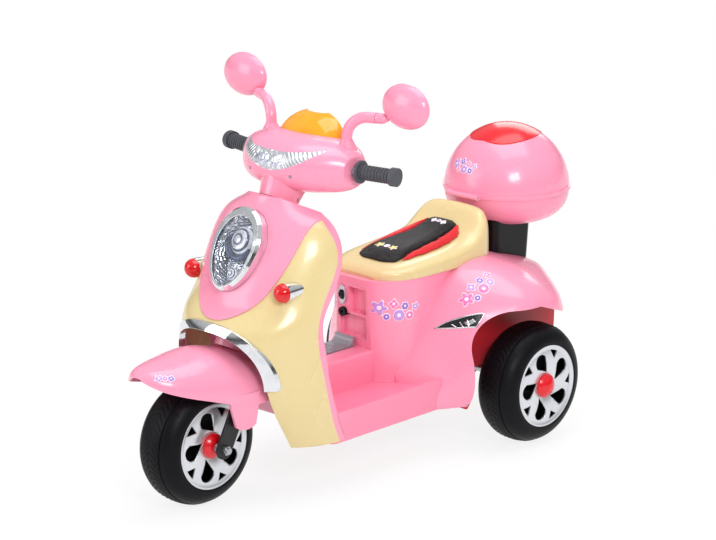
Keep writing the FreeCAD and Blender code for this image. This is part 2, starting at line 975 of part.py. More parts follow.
def build_headlamp():
    """Bezel, reflector, lamps and clear cover in the nose."""
    back = lamp_face - lamp_depth
    step = lamp_face - bezel_step
    outer = joined(egg_prism(0, back, step), loft([egg(step, 0), egg(lamp_face, -bezel_step)]))
    drop = bezel_drop
    bezel = outer.cut(egg_prism(-bezel_border, back - overrun, lamp_face + overrun, drop))
    save("headlamp_bezel", steered(bezel))
    rest = step - lens_wall
    cup = egg_prism(-bezel_border, back, rest, drop)
    floor = back + reflector_floor
    hollow = loft([egg(floor, -2 * bezel_border, drop), egg(rest, -bezel_border - lens_wall, drop)])
    projector_base = Vector(floor, 0, lamp_centre + projector_rise)
    projector = rod(projector_radius, projector_base, forward * projector_length)
    pilot = rod(pilot_radius, Vector(floor, 0, lamp_centre - pilot_drop), forward * pilot_length)
    save("headlamp_reflector", steered(cup.cut(hollow)))
    domes = []
    for radius, length, rise in (
        (projector_radius, projector_length, projector_rise),
        (pilot_radius, pilot_length, -pilot_drop),
    ):
        depth = radius / 2
        ball = (radius * radius + depth * depth) / (2 * depth)
        dome = Part.makeSphere(ball, Vector(floor + length - ball + depth, 0, lamp_centre + rise))
        base = Vector(floor + length, 0, lamp_centre + rise)
        domes.append(dome.common(rod(radius, base, forward * ball)))
    save("headlamp_lamps", *[steered(joined(b, d)) for b, d in zip((projector, pilot), domes)])
    crown = rest + lens_wall + lens_bulge
    skin = loft([egg(rest, -bezel_border, drop), egg(crown, -bezel_border - 2 * lens_bulge, drop)])
    space = loft(
        [
            egg(rest, -bezel_border - lens_wall, drop),
            egg(rest + lens_bulge, -bezel_border - lens_wall - 2 * lens_bulge, drop),
        ]
    )
    save("headlamp_lens", steered(skin.cut(space)))


def stalk():
    """Bullet-shaped signal housing along the vehicle, on the left."""
    tail = front_axle_x - signal_setback - stalk_length
    shares = ((0, 0), (0.35, 0.55), (0.7, 0.88), (1, 1))
    span = signal_radius - stalk_tail_radius
    side = [Vector(tail + a * stalk_length, stalk_tail_radius + b * span) for a, b in shares]
    ends = (Vector(side[-1].x, 0), Vector(tail, 0))
    corners = (side[-1],) + ends + (side[0],)
    edges = [Part.makeLine(a, b) for a, b in zip(corners, corners[1:])]
    solid = turned(Part.Wire([spline(side)] + edges), forward)
    return moved(solid, 0, signal_offset, signal_height)


def build_shield():
    """Leg shield, inner panel, nose, trim, signals and the steering head."""
    over = above_collar()
    opening = arch_prism(0)
    nose_cut = nose_prism()
    lamp_hole = steered(egg_prism(clearance, 0, lamp_face + overrun))
    shell = shield_shell(0, wall)
    shield = shell.cut([nose_cut, opening, over])
    trim_ring = arch_prism(trim_width).cut(arch_prism(0))
    reach = shield_half_width
    trim_ring = trim_ring.common(block(0, wheelbase, -reach, reach, arch_spring, nose_bottom))
    trim = shield_shell(trim_rise, trim_depth).common(trim_ring)
    shield = shield.cut(trim)
    inner = skin(inner_rows(0), inner_rows(wall)).cut(over)
    nose = shield_shell(nose_rise, wall).common(nose_cut).cut([opening, over, lamp_hole, trim])
    lid_slab = steered(
        block(
            -shield_height,
            shield_height,
            -shield_half_width,
            shield_half_width,
            collar_height - collar_thickness,
            collar_height,
        )
    )
    hollow = shield_block(wall)
    collar = hollow.common(lid_slab)
    collar = collar.cut(steered(rod(tube_radius, Vector(), upward * shaft_top)))
    save("leg_shield", shield)
    tube_height = collar_height - tube_bottom
    save("inner_leg_shield", inner)
    save("nose_panel", joined(nose, collar))
    save("arch_trim", trim)
    stalks = stalk().cut(shield_block(0))
    save("signal_stalks", stalks, mirrored(stalks))
    centre = Vector(front_axle_x - signal_setback, signal_offset, signal_height)
    ball = Part.makeSphere(signal_radius, centre)
    shield_top = shield_bottom + shield_height
    half = ball.common(block(centre.x, centre.x + wheel_radius, 0, shield_half_width, 0, shield_top))
    save("signal_lenses", half, mirrored(half))
    tube = rod(tube_radius, Vector(0, 0, tube_bottom), upward * tube_height)
    web_top = collar_height - collar_thickness
    web = block(-shield_depth, 0, -tube_web / 2, tube_web / 2, tube_bottom, web_top)
    head = joined(steered(tube), steered(web).common(shield_block(2 * wall)))
    relief_length = tube_height - 2 * bush_length
    bore = rod(shaft_radius + running_clearance, Vector(), upward * shaft_top)
    relief = rod(tube_bore, Vector(0, 0, tube_bottom + bush_length), upward * relief_length)
    save("steering_head_tube", largest(head.cut([steered(bore), steered(relief)])))


# Footboard and pedal
def board_form(inset):
    """Solid of skirt, floor and tunnel, drawn in by an inset."""
    low = skirt_bottom - (overrun if inset else 0)
    draft = loft(
        [
            rounded_plan(board_x0, board_x1, skirt_half_width - skirt_draft - inset, pocket_round, low),
            rounded_plan(board_x0, board_x1, skirt_half_width - inset, pocket_round, floor_height - inset),
        ]
    )
    half_width = tunnel_half_width - inset
    top = tunnel_top - inset
    curve = tunnel_round - min(inset, tunnel_round / 2)
    bite = curve * (1 - math.sqrt(1 / 2))
    tunnel = prism(
        chain(
            Vector(board_x0, -half_width, low),
            Vector(board_x0, half_width, low),
            Vector(board_x0, half_width, top - curve),
            (
                Vector(board_x0, half_width - bite, top - bite),
                Vector(board_x0, half_width - curve, top),
            ),
            Vector(board_x0, curve - half_width, top),
            (
                Vector(board_x0, bite - half_width, top - bite),
                Vector(board_x0, -half_width, top - curve),
            ),
        ),
        forward * (board_rear - tunnel_front),
    )
    recess = block(
        pedal_x0 - pedal_heel_gap - inset,
        pedal_x1 + pedal_gap + inset,
        -pedal_right - pedal_gap - inset,
        pedal_left + pedal_gap + inset,
        tunnel_top - pedal_pocket_depth - inset,
        tunnel_top + overrun,
    )
    return joined(draft, tunnel).cut(recess)


def lips():
    """Raised border along both sides of the floor."""
    top = skirt_bottom + skirt_height
    outer = loft(
        [
            rounded_plan(board_x0, board_x1, skirt_half_width, pocket_round, floor_height),
            rounded_plan(board_x0, board_x1, skirt_half_width, pocket_round, top),
        ]
    )
    inside = skirt_half_width - lip_width
    return outer.cut(
        prism(rounded_plan(board_x0 - overrun, board_x1 - lip_width, inside, pocket_round, floor_height),
              upward * skirt_height)
    )


def pedal_profile(y):
    """Side outline of the pedal: a flat tread that curls up at the heel."""
    base = tunnel_top + pedal_rise - pedal_thickness
    top = tunnel_top + pedal_rise
    heel = pedal_x0 + pedal_curl
    return chain(
        Vector(pedal_x1, y, base),
        Vector(pedal_x1, y, top),
        Vector(heel, y, top),
        (
            Vector(heel - pedal_curl * math.sqrt(1 / 2), y, top + pedal_curl * (1 - math.sqrt(1 / 2))),
            Vector(pedal_x0, y, top + pedal_curl),
        ),
        Vector(pedal_x0 - pedal_thickness / 2, y, top + pedal_curl),
        Vector(pedal_x0 - pedal_thickness / 2, y, top),
        Vector(pedal_x0, y, base),
    )


def build_floor(body):
    """Footboard, accelerator pedal and its pin."""
    shell = joined(board_form(0), lips()).cut(board_form(wall))
    top_layer = block(-wheelbase, wheelbase, -wheelbase, wheelbase, floor_height - clearance, tunnel_top)
    rebate = body_form(-clearance).common(top_layer)
    board = largest(shell.cut([shield_block(-clearance), body, rebate]))
    pin_x = pedal_x0 + pedal_pin_inset
    pin_z = tunnel_top - pedal_pin_drop
    pin_start = Vector(pin_x, -pedal_right - pedal_gap - pedal_pin_reach, pin_z)
    pin_way = across * (pedal_right + pedal_left + 2 * (pedal_gap + pedal_pin_reach))
    save("footboard", board.cut(rod(pedal_pin_radius + running_clearance, pin_start, pin_way)))
    pedal = prism(pedal_profile(-pedal_right), across * (pedal_right + pedal_left))
    boss = rod(pedal_boss_radius, Vector(pin_x, -pedal_right, pin_z), across * (pedal_right + pedal_left))
    pedal = joined(pedal, boss, rod(pedal_pin_radius, pin_start, pin_way))
    pitch = (pedal_x1 - pedal_x0 - 2 * pedal_curl) / pedal_rib_count
    pedal_over = tunnel_top + pedal_rise + overrun
    grooves = []
    for i in range(pedal_rib_count):
        x = pedal_x0 + 2 * pedal_curl + pitch * i
        low = tunnel_top + pedal_rise - pedal_rib_depth
        sides = (-pedal_right - overrun, pedal_left + overrun)
        grooves.append(block(x, x + pitch / 3, sides[0], sides[1], low, pedal_over))
    save("accelerator_pedal", pedal.cut(grooves))


# Rear body
def pedestal_form(inset):
    """Seat pedestal: a blunt wedge with a flat front, drawn in by an inset."""
    wires = []
    for height, lean, front_w, hip_w, hip_back, flank_w, flank_back in pedestal_shares:
        z = skirt_bottom + height * pedestal_height
        if inset:
            z += -overrun if height == 0 else -inset * height
        front = rear_axle_x + pedestal_reach + lean * pedestal_lean - inset
        rear = rear_axle_x + pedestal_reach - pedestal_depth + inset
        hip = front - hip_back * pedestal_depth
        flank = front - flank_back * pedestal_depth
        left = [
            Vector(front, front_w * pedestal_half_width - inset, z),
            Vector(hip, hip_w * pedestal_half_width - inset, z),
            Vector(flank, flank_w * pedestal_half_width - inset, z),
            Vector(rear, pedestal_half_width - inset, z),
        ]
        right = [Vector(point.x, -point.y, z) for point in left[::-1]]
        lines = (Part.makeLine(left[-1], right[0]), Part.makeLine(right[-1], left[0]))
        wires.append(Part.Wire([spline(left), lines[0], spline(right), lines[1]]))
    return loft(wires)


def haunch_form(inset):
    """Haunches and rear deck as one loft of arched sections, drawn in by an inset."""
    rows = []
    last = len(haunch_shares) - 1
    for i, row in enumerate(haunch_shares):
        widths = [share * haunch_half_width - inset for share in row[1:5]]
        rises = [skirt_bottom + share * haunch_height - inset for share in row[5:]]
        x = rear_axle_x + haunch_reach - row[0] * haunch_length
        x += -inset if i == 0 else inset if i == last else 0
        low = skirt_bottom - (overrun if inset else 0)
        heights = [low] + rises
        left = [Vector(x, y, z) for y, z in zip(widths + [0], heights)]
        right = [Vector(x, -point.y, point.z) for point in left[-2::-1]]
        rows.append(left + right)
    return covered(rows)


def body_form(inset):
    """Whole outer form of the rear body, drawn in by an inset."""
    return joined(pedestal_form(inset), haunch_form(inset))


def wheel_arch(inset):
    """Space of both rear wheels and the axle, as a prism across the vehicle."""
    front = rear_axle_x + arch_reach - inset
    top = arch_top - inset
    corner = arch_corner - inset
    bite = corner * (1 - math.sqrt(1 / 2))
    y = -haunch_half_width - overrun
    far = rear_axle_x - far_reach
    low = top - arch_drop
    wire = chain(
        Vector(front, y, 0),
        Vector(front, y, top - corner),
        (Vector(front - bite, y, top - bite), Vector(front - corner, y, top)),
        Vector(rear_axle_x + arch_flat, y, top),
        Vector(rear_axle_x - arch_drop_reach, y, low),
        Vector(far, y, low),
        Vector(far, y, 0),
    )
    return prism(wire, across * -2 * y)


def oval(half_width, half_height, y, z, x, depth):
    """Flat oval solid that faces forward."""
    def place(a, b):
        return Vector(x, y + a, z + b)
    return prism(superellipse(half_width, half_height, 1, place), forward * depth)


def build_rear(body, hollow):
    """Rear body shell, liner, hatch, switch, socket and vents."""
    space = wheel_arch(0)
    front = rear_axle_x + pedestal_reach
    frame = block(
        front - hatch_depth,
        front + pedestal_lean + overrun,
        -hatch_half_width,
        hatch_half_width,
        hatch_bottom,
        hatch_bottom + hatch_height,
    )
    hatch = body.common(frame)
    lower_top = hatch_bottom + hatch_split
    face = front - hatch_pocket
    ahead = front + pedestal_lean + overrun
    side = hatch_half_width - hatch_border
    pockets = [
        block(face, ahead, -side, side, hatch_bottom + hatch_border, lower_top - hatch_border),
        block(face, ahead, hatch_border - switch_offset + switch_half_width, side, lower_top,
              hatch_bottom + hatch_height - hatch_border),
    ]
    plate = oval(switch_half_width, switch_half_height, -switch_offset, switch_height, face, ahead - face)
    plate_face = front + pedestal_lean + switch_plate_rise
    socket_tip = Vector(front - socket_depth, -switch_offset, socket_height)
    socket_body = rod(socket_radius, socket_tip, forward * (socket_depth + pedestal_lean))
    flange = rod(socket_flange, Vector(face, -switch_offset, socket_height), forward * (plate_face - face))
    socket = joined(socket_body, flange)
    bore = rod(socket_bore, Vector(face, -switch_offset, socket_height), forward * (ahead - face))
    hatch = hatch.cut(pockets)
    plate = plate.common(block(face, plate_face, -hatch_half_width, 0, 0, arch_top + haunch_height))
    slot_reach = rocker_half_width + clearance
    slot_rise = rocker_half_height + clearance
    slot = block(face - rocker_depth, ahead, -switch_offset - slot_reach, slot_reach - switch_offset,
                 switch_height - slot_rise, switch_height + slot_rise)
    hatch = hatch.cut([plate, socket, slot])
    vents = vent_pair(body)
    shell = body.cut([hollow, space, frame] + [vent[1] for vent in vents])
    plate_rear = rear_axle_x + arch_reach + liner_wall
    reach = haunch_half_width
    slab = block(plate_rear, front, -reach, reach, skirt_bottom, skirt_bottom + tray_wall)
    save("rear_body", largest(joined(shell, slab.common(body))))
    liner = wheel_arch(-liner_wall).cut(space).common(hollow)
    inner_walls = [
        block(-wheelbase, rear_axle_x + arch_reach, side * well_offset - liner_wall / 2,
              side * well_offset + liner_wall / 2, well_bottom, arch_top + haunch_height)
        for side in (1, -1)
    ]
    walls = [wall_block.common(space).common(haunch_form(wall)) for wall_block in inner_walls]
    save("wheel_well_liner", joined(liner, *walls))
    save("pedestal_hatch", hatch)
    save("switch_plate", plate.cut(slot))
    rocker = block(face - rocker_depth / 2, plate_face + rocker_rise, -switch_offset - rocker_half_width,
                   rocker_half_width - switch_offset, switch_height - rocker_half_height,
                   switch_height + rocker_half_height)
    barrel = rod(rocker_half_height, Vector(plate_face - rocker_rise, -switch_offset - rocker_half_width,
                 switch_height), across * 2 * rocker_half_width)
    save("power_rocker", rocker.common(barrel))
    save("charging_socket", socket.cut(bore))
    save("side_vents", *[vent[0] for vent in vents])


def vent_pair(body):
    """Leaf-shaped vent inserts of both haunches with the holes that take them."""
    start = rear_axle_x + vent_reach + vent_length / 2
    shares = ((0, 0), (0.4, 0.62), (1, 1), (0.72, 0.2))
    low = vent_height - vent_rise / 2
    points = [Vector(start - a * vent_length, 0, low + b * vent_rise) for a, b in shares]
    edges = [spline(points[:3]), spline(points[2:]), Part.makeLine(points[3], points[0])]
    hole = prism(Part.Wire(edges), across * haunch_half_width)
    insert = body.common(hole).cut([haunch_form(vent_depth), wheel_arch(-liner_wall)])
    return ((insert, hole), (mirrored(insert), mirrored(hole)))


# Seat
def seat_form():
    """Moulded seat base with a low back."""
    rows = []
    for place, width, rise in seat_shares:
        x = rear_axle_x + seat_front - place * seat_length
        section = bow(seat_base_height, width * seat_half_width, rise * seat_rise, seat_power)
        rows.append(upright(x, section))
    return covered(rows)


def build_seat(body):
    """Seat base, black centre pad and red side bolsters."""
    base = seat_form()
    save("seat_base", base.cut(body))
    rows = []
    for place, width, rise in pad_shares:
        x = rear_axle_x + pad_front - place * pad_length
        rows.append(upright(x, bow(pad_bottom, width * pad_half_width, rise * pad_rise, pad_power)))
    cushion = covered(rows).cut(base)
    nose = rear_axle_x + pad_front + overrun
    tail = nose - pad_length - 2 * overrun
    low = pad_bottom - overrun
    height = upward * (pad_rise + 2 * overrun)

    def strip(half_front, half_rear):
        wire = chain(
            Vector(nose, -half_front, low),
            Vector(nose, half_front, low),
            Vector(tail, half_rear, low),
            Vector(tail, -half_rear, low),
        )
        return prism(wire, height)

    centre = strip(centre_half_width + centre_taper, centre_half_width - centre_taper)
    gap = strip(centre_half_width + centre_taper + seam_gap, centre_half_width - centre_taper + seam_gap)
    save("seat_pad", cushion.common(centre))
    save("seat_bolsters", cushion.cut(gap))


# Top box
def box_curve(radius, rise, power, base):
    """Half outline of the box from its seam to the middle, upwards or downwards."""
    points = []
    for i in range(curve_points):
        angle = math.pi / 2 * i / (curve_points - 1)
        points.append(Vector(radius * math.cos(angle) ** power, 0, base + rise * math.sin(angle) ** power))
    return points


def dome(inset, rise, power):
    """Solid of half the box about its own middle, drawn in by an inset."""
    points = box_curve(box_radius - bead_rise - inset, rise, power, 0)
    points[-1] = Vector(0, 0, points[-1].z)
    middle = Vector()
    edges = [spline(points), Part.makeLine(points[-1], middle), Part.makeLine(middle, points[0])]
    return turned(Part.Wire(edges), upward)


def bead(z0, z1):
    """Ring that thickens the rim of the box."""
    outer = box_radius
    inner = box_radius - bead_rise - box_wall
    corners = ((inner, z0), (outer, z0), (outer, z1), (inner, z1))
    return turned(chain(*[Vector(x, 0, z) for x, z in corners]), upward)


def set_box(shape):
    """Sets a box piece in place over its mount."""
    return moved(shape, box_x, 0, box_seam)


def build_box(body):
    """Mount, tub, lid, lid insert and hinge pin."""
    down = box_bottom - box_seam
    up = box_top - box_seam
    cavity = dome(box_wall, down + box_wall, tub_power)
    tub = set_box(joined(dome(0, down, tub_power), bead(-bead_height, 0)).cut(cavity))
    lid_space = dome(box_wall, up - box_wall, lid_power)
    lid = set_box(joined(dome(0, up, lid_power), bead(0, bead_height)).cut(lid_space))
    front = insert_front
    rear = insert_rear
    side = insert_half_width
    points = [Vector(front * a - rear * b, side * c, 0) for a, b, c in insert_shares]
    other = [Vector(point.x, -point.y, 0) for point in points[::-1]]
    leaf = prism(Part.Wire([spline(points), spline(other)]), upward * (up + overrun))
    leaf = moved(leaf, box_x, 0, box_seam)
    raised = set_box(dome(-insert_rise, up + insert_rise, lid_power))
    sunk = set_box(dome(insert_depth, up - insert_depth, lid_power))
    insert = raised.cut(sunk).common(leaf)
    lid = lid.cut(leaf)
    hinge_x = box_x + box_radius + knuckle_outset
    ends = knuckle_half_length

    def knuckle(y0, y1, z0, z1):
        barrel = rod(knuckle_radius, Vector(hinge_x, y0, box_seam), across * (y1 - y0))
        inside = hinge_x - knuckle_outset - 2 * bead_rise
        strap = block(inside, hinge_x, y0, y1, box_seam + z0, box_seam + z1)
        return joined(barrel, strap)

    hole = rod(pin_radius, Vector(hinge_x, -ends, box_seam), across * 2 * ends)
    running = rod(pin_radius + running_clearance, Vector(hinge_x, -ends, box_seam), across * 2 * ends)
    left = knuckle(knuckle_split + clearance, ends, -bead_height, 0)
    inner_tub = set_box(cavity)
    inner_lid = set_box(lid_space)
    sweep = knuckle_radius + clearance
    half = knuckle_split + clearance
    middle_way = rod(sweep, Vector(hinge_x, -half, box_seam), across * 2 * half)
    left_length = ends + clearance - knuckle_split
    left_way = rod(sweep, Vector(hinge_x, knuckle_split, box_seam), across * left_length)
    tub = joined(tub.cut(middle_way), left, mirrored(left)).cut([hole, inner_tub])
    lid = lid.cut([left_way, mirrored(left_way)])
    lid = joined(lid, knuckle(-knuckle_split, knuckle_split, 0, bead_height)).cut([running, inner_lid])
    save("box_tub", tub)
    save("box_lid", lid)
    save("lid_insert", insert)
    save("box_hinge_pin", hole)
    x1 = rear_axle_x - mount_front + mount_flare
    x0 = x1 - mount_length
    foot_width = mount_half_width - mount_flare
    mount = loft(
        [
            rounded_plan(x0 + mount_flare, x1 - mount_flare, foot_width, mount_round, mount_bottom),
            rounded_plan(x0, x1, mount_half_width, mount_round, box_seam),
        ]
    )
    outside = set_box(dome(0, down, tub_power))
    save("box_mount", mount.cut([body, outside, seat_form()]))


# Handlebar head
def head_form(inset):
    """Cover of the handlebar as a smooth form across the vehicle, drawn in by an inset."""
    rows = [(-row[0],) + row[1:] for row in head_shares[:0:-1]] + list(head_shares)
    upper = []
    lower = []
    for place, back, drop, length, height in rows:
        y = place * (head_half_width - inset)
        x = front_axle_x - head_setback - back * head_half_length
        z = head_height - drop * head_half_height
        half_length = length * head_half_length - inset
        rise = height * head_half_height - inset
        upper.append([Vector(x + side, y, out) for out, side in bow(z, half_length, rise, head_power)])
        lower.append([Vector(x + side, y, out) for out, side in bow(z, half_length, -rise, head_power)])
    return skin(upper, lower)


def eye_prism(grow):
    """Long pointed outline of the head lamp, as a cutter along the vehicle."""
    x = front_axle_x - head_setback
    span = eye_half_width + grow
    drop = eye_tip - eye_bottom + grow
    low = [Vector(x, w * span, eye_bottom - grow + h * drop) for w, h in eye_lower_shares]
    lower = low + [Vector(x, -point.y, point.z) for point in low[-2::-1]]
    upper = [lower[-1], Vector(x, 0, eye_top + grow), lower[0]]
    return prism(Part.Wire([spline(lower), spline(upper)]), forward * head_setback)


def bar_form(radius):
    """Handlebar tube: a straight middle and two swept ends."""
    start = Vector(front_axle_x - bar_setback, bar_bend, bar_height)
    sweep = math.radians(bar_sweep)
    way = Vector(-math.sin(sweep), math.cos(sweep), 0) * ((bar_reach - bar_bend) / math.cos(sweep))
    middle = rod(radius, start - across * 2 * bar_bend, across * 2 * bar_bend)
    end = joined(rod(radius, start, way), Part.makeSphere(radius, start))
    return joined(middle, end, mirrored(end))


def grip():
    """Ribbed rubber grip with an inner flange and a thick end, on the left."""
    count = grip_rib_count
    body = grip_length - grip_flange_length - grip_end_length
    pitch = body / count
    points = [Vector(0, 0), Vector(grip_flange, 0), Vector(grip_flange, grip_flange_length)]
    for i in range(count):
        start = grip_flange_length + pitch * i
        points.append(Vector(grip_radius, start))
        points.append(Vector(grip_radius, start + pitch / 2))
        points.append(Vector(grip_radius - grip_rib_depth, start + pitch / 2))
        points.append(Vector(grip_radius - grip_rib_depth, start + pitch))
    tail = grip_length - grip_end_length
    points += [Vector(grip_end_radius, tail), Vector(grip_end_radius, grip_length), Vector(0, grip_length)]
    solid = turned(chain(*points))
    solid.translate(Vector(0, grip_start, 0))
    solid.rotate(Vector(), upward, bar_sweep)
    solid.translate(Vector(front_axle_x - bar_setback, bar_bend, bar_height))
    return solid


def build_head():
    """Head covers, lamp, windscreen, handlebar and grips."""
    outer = head_form(0)
    bar = bar_form(bar_radius)
    shaft = steered(steering_shaft())
    reach = head_setback + shield_height
    top_half = block(-reach, reach, -reach, reach, head_split, head_split + reach)
    eye = eye_prism(0)
    shell = outer.cut(head_form(wall))
    save("head_cover_upper", largest(shell.common(top_half).cut([eye, bar, shaft])))
    save("head_lamp_lens", largest(outer.cut(head_form(eye_lens)).common(eye)))
    neck_start = collar_height + neck_gap
    rings = (
        (neck_start, neck_radius),
        ((neck_start + neck_top) / 2, neck_radius + neck_flare / 3),
        (neck_top + overrun, neck_radius + neck_flare),
    )
    circles = [Part.Circle(Vector(0, 0, w), upward, radius) for w, radius in rings]
    neck = loft([Part.Wire([circle.toShape()]) for circle in circles])
    bore = rod(neck_radius - 2 * wall, Vector(0, 0, neck_start + wall), upward * shaft_top)
    neck = steered(neck.cut(bore)).cut(head_form(wall))
    save("head_cover_lower", largest(joined(shell.cut(top_half), neck).cut([eye, bar, shaft])))
    front = []
    rear = []
    for height, width, depth, lean in screen_shares:
        z = screen_base + height * screen_height
        edge = front_axle_x - screen_setback - lean * screen_depth
        half_width = width * screen_half_width
        bulge = depth * screen_depth
        front.append(level(z, bow(edge, half_width, bulge, screen_power)))
        rear.append(level(z, bow(edge, half_width - screen_wall, bulge - screen_wall, screen_power)))
    save("windscreen", largest(skin(front, rear).cut(outer)))
    clamp = block(
        front_axle_x - clamp_rear,
        front_axle_x - clamp_front,
        -clamp_half_width,
        clamp_half_width,
        bar_height - clamp_half_height,
        bar_height + clamp_half_height,
    )
    save("handlebar", joined(bar, clamp).cut(shaft))
    left = grip().cut(bar)
    save("handlebar_grips", left, mirrored(left))


# Mirrors
def build_mirrors():
    """Arms on the head, and a shell with its glass on each arm's spigot."""
    base = Vector(front_axle_x - arm_base_setback, arm_base_offset, arm_base_height)
    centre = Vector(front_axle_x - mirror_setback, mirror_offset, mirror_height)
    joint = Vector(centre.x + mirror_depth / 3, mirror_offset - spigot_inset, spigot_height)
    flat = Vector(joint.x - base.x, joint.y - base.y, 0)
    way = Vector(flat).normalize()
    knee = Vector(base.x, base.y, spigot_height - arm_bend)
    top = knee + way * arm_bend + upward * arm_bend
    mid = knee + way * arm_bend * (1 - math.sqrt(1 / 2)) + upward * arm_bend * math.sqrt(1 / 2)
    tip = joint - way * spigot_length
    path = Part.Wire([
        Part.makeLine(base, knee),
        Part.Arc(knee, mid, top).toShape(),
        Part.makeLine(top, tip),
    ])
    section = Part.Wire([Part.Circle(base, upward, arm_radius).toShape()])
    arm = path.makePipeShell([section], True, False)
    foot = Part.makeCone(arm_radius * 2, arm_radius, arm_bend / 2, base, upward)
    spigot = rod(spigot_radius, tip, way * spigot_length)
    arm = joined(arm, foot, spigot).cut(head_form(0))
    save("mirror_arms", arm, mirrored(arm))
    rows = []
    for i in range(curve_points):
        angle = math.radians(mirror_span) * (2 * i / (curve_points - 1) - 1)
        narrow = math.cos(angle)
        pairs = bow(0, mirror_half_height * narrow, mirror_depth * narrow, 1)
        rows.append([Vector(out, mirror_half_width * math.sin(angle), side) for out, side in pairs])
    shell = covered(rows)

    def place(a, b):
        return Vector(0, a, b)

    glass = prism(
        superellipse(mirror_half_width - mirror_border, mirror_half_height - mirror_border, 1, place),
        forward * mirror_glass,
    )
    shell = moved(shell.cut(glass), centre.x, centre.y, centre.z)
    glass = moved(glass, centre.x, centre.y, centre.z)
    mouth = tip - way * mirror_half_width
    depth = mirror_half_width + spigot_length
    socket = rod(spigot_radius + running_clearance, mouth, way * depth)
    relief = rod(arm_radius + clearance, mouth, way * (mirror_half_width + clearance))
    shell = shell.cut([socket, relief])
    save("mirror_left_shell", shell)
    save("mirror_right_shell", mirrored(shell))
    save("mirror_left_glass", glass)
    save("mirror_right_glass", mirrored(glass))


# Drive and power
def build_drive(hollow):
    """Battery, axle, carrier, gearbox, motor, spacers and nuts."""
    rear = rear_axle_x + arch_reach + liner_wall + clearance
    floor = skirt_bottom + tray_wall
    side = battery_half_width
    cell = block(rear, rear + battery_length, -side, side, floor, floor + battery_height)
    save("battery", cell.common(hollow))
    axle_half = half_track + cap_seat + nut_thickness + clearance
    axle = rod(axle_radius, Vector(rear_axle_x, -axle_half, axle_z), across * 2 * axle_half)
    save("rear_axle", axle)
    y = carrier_half_gap
    outline = chain(
        Vector(rear_axle_x - carrier_half_length, y, arch_top + overrun),
        Vector(rear_axle_x + carrier_half_length, y, arch_top + overrun),
        Vector(rear_axle_x + carrier_boss, y, axle_z),
        (Vector(rear_axle_x, y, axle_z - carrier_boss), Vector(rear_axle_x - carrier_boss, y, axle_z)),
    )
    cheek = prism(outline, across * carrier_plate)
    bridge = block(rear_axle_x - carrier_half_length, rear_axle_x + carrier_half_length, -y, y,
                   arch_top - arch_drop, arch_top)
    bridge = bridge.common(wheel_arch(0)).cut(wheel_arch(carrier_plate))
    carrier = joined(cheek, mirrored(cheek), bridge).common(wheel_arch(0)).cut(axle)
    save("axle_carrier", carrier)
    gear_start = -y - carrier_plate - gearbox_width
    centre = Vector(rear_axle_x, gear_start, axle_z)
    motor_axis = centre + forward * gearbox_motor_reach + upward * gearbox_motor_rise
    big = rod(gearbox_radius, centre, across * gearbox_width)
    small = rod(gearbox_motor_radius, motor_axis, across * gearbox_width)
    case = joined(big, small).cut(axle)
    save("gearbox", case)
    motor = rod(motor_radius, motor_axis + across * gearbox_width, across * motor_length)
    save("motor", motor.cut(carrier))
    inner_hub = half_track - hub_half_length - clearance
    outside = y + carrier_plate
    left = rod(sleeve_radius, Vector(rear_axle_x, outside, axle_z), across * (inner_hub - outside))
    right = rod(sleeve_radius, Vector(rear_axle_x, -inner_hub, axle_z), across * (inner_hub + gear_start))
    fixing = moved(nut(half_track + cap_seat + clearance), rear_axle_x, 0, axle_z).cut(axle)
    save("rear_axle_fasteners", left.cut(axle), right.cut(axle), fixing, mirrored(fixing))


os.makedirs("parts", exist_ok=True)
rear_form = body_form(0)
rear_hollow = body_form(wall)
build_wheels()
build_front()
build_shield()
build_headlamp()
build_floor(rear_form)
build_rear(rear_form, rear_hollow)
build_seat(rear_form)
build_box(rear_form)
build_head()
build_mirrors()
build_drive(rear_hollow)
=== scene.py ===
"""Looks of a child's three-wheeled electric motorbike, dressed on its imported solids.

Lengths are in metres. X points forward, Y to the rider's left and Z up, with the floor at zero.
"""

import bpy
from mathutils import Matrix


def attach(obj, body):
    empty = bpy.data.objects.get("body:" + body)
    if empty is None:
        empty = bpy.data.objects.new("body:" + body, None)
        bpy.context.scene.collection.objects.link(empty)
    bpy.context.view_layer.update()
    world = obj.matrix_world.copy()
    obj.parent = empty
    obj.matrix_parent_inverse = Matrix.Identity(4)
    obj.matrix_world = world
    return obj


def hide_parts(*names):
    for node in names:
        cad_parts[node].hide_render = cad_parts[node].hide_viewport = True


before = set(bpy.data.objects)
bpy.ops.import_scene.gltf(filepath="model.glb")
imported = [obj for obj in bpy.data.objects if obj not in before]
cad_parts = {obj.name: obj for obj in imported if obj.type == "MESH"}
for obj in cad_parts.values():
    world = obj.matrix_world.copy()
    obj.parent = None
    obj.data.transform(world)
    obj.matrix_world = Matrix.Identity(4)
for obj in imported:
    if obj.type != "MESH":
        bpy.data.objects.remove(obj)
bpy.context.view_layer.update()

import logging
import math
from abc import ABC, abstractmethod
from dataclasses import dataclass, field
from enum import Enum
from typing import Any, ClassVar, Mapping, Sequence

import bpy
import numpy as np
from mathutils import Matrix, Vector
from mathutils.bvhtree import BVHTree

log = logging.getLogger("motorbike")

Colour = tuple[float, float, float, float]
Point = tuple[float, float, float]
NODES: Mapping[str, bpy.types.Object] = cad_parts
WHITE: Colour = (1.0, 1.0, 1.0, 1.0)
AXLE: Point = (0.4145, 0.0, 0.116)
REAR_AXLE: Point = (-0.2655, 0.204, 0.116)
RAKE = math.radians(27)
WELD_REACH = 0.00002
FILM_HEIGHTS = (0.0003, 0.0005, 0.0007)
SCREW_HEIGHTS = (0.0003, 0.0006)
PRINT_BORDER = 0.0016
HANDS: tuple[tuple[str, int], ...] = (("left", 1), ("right", -1))


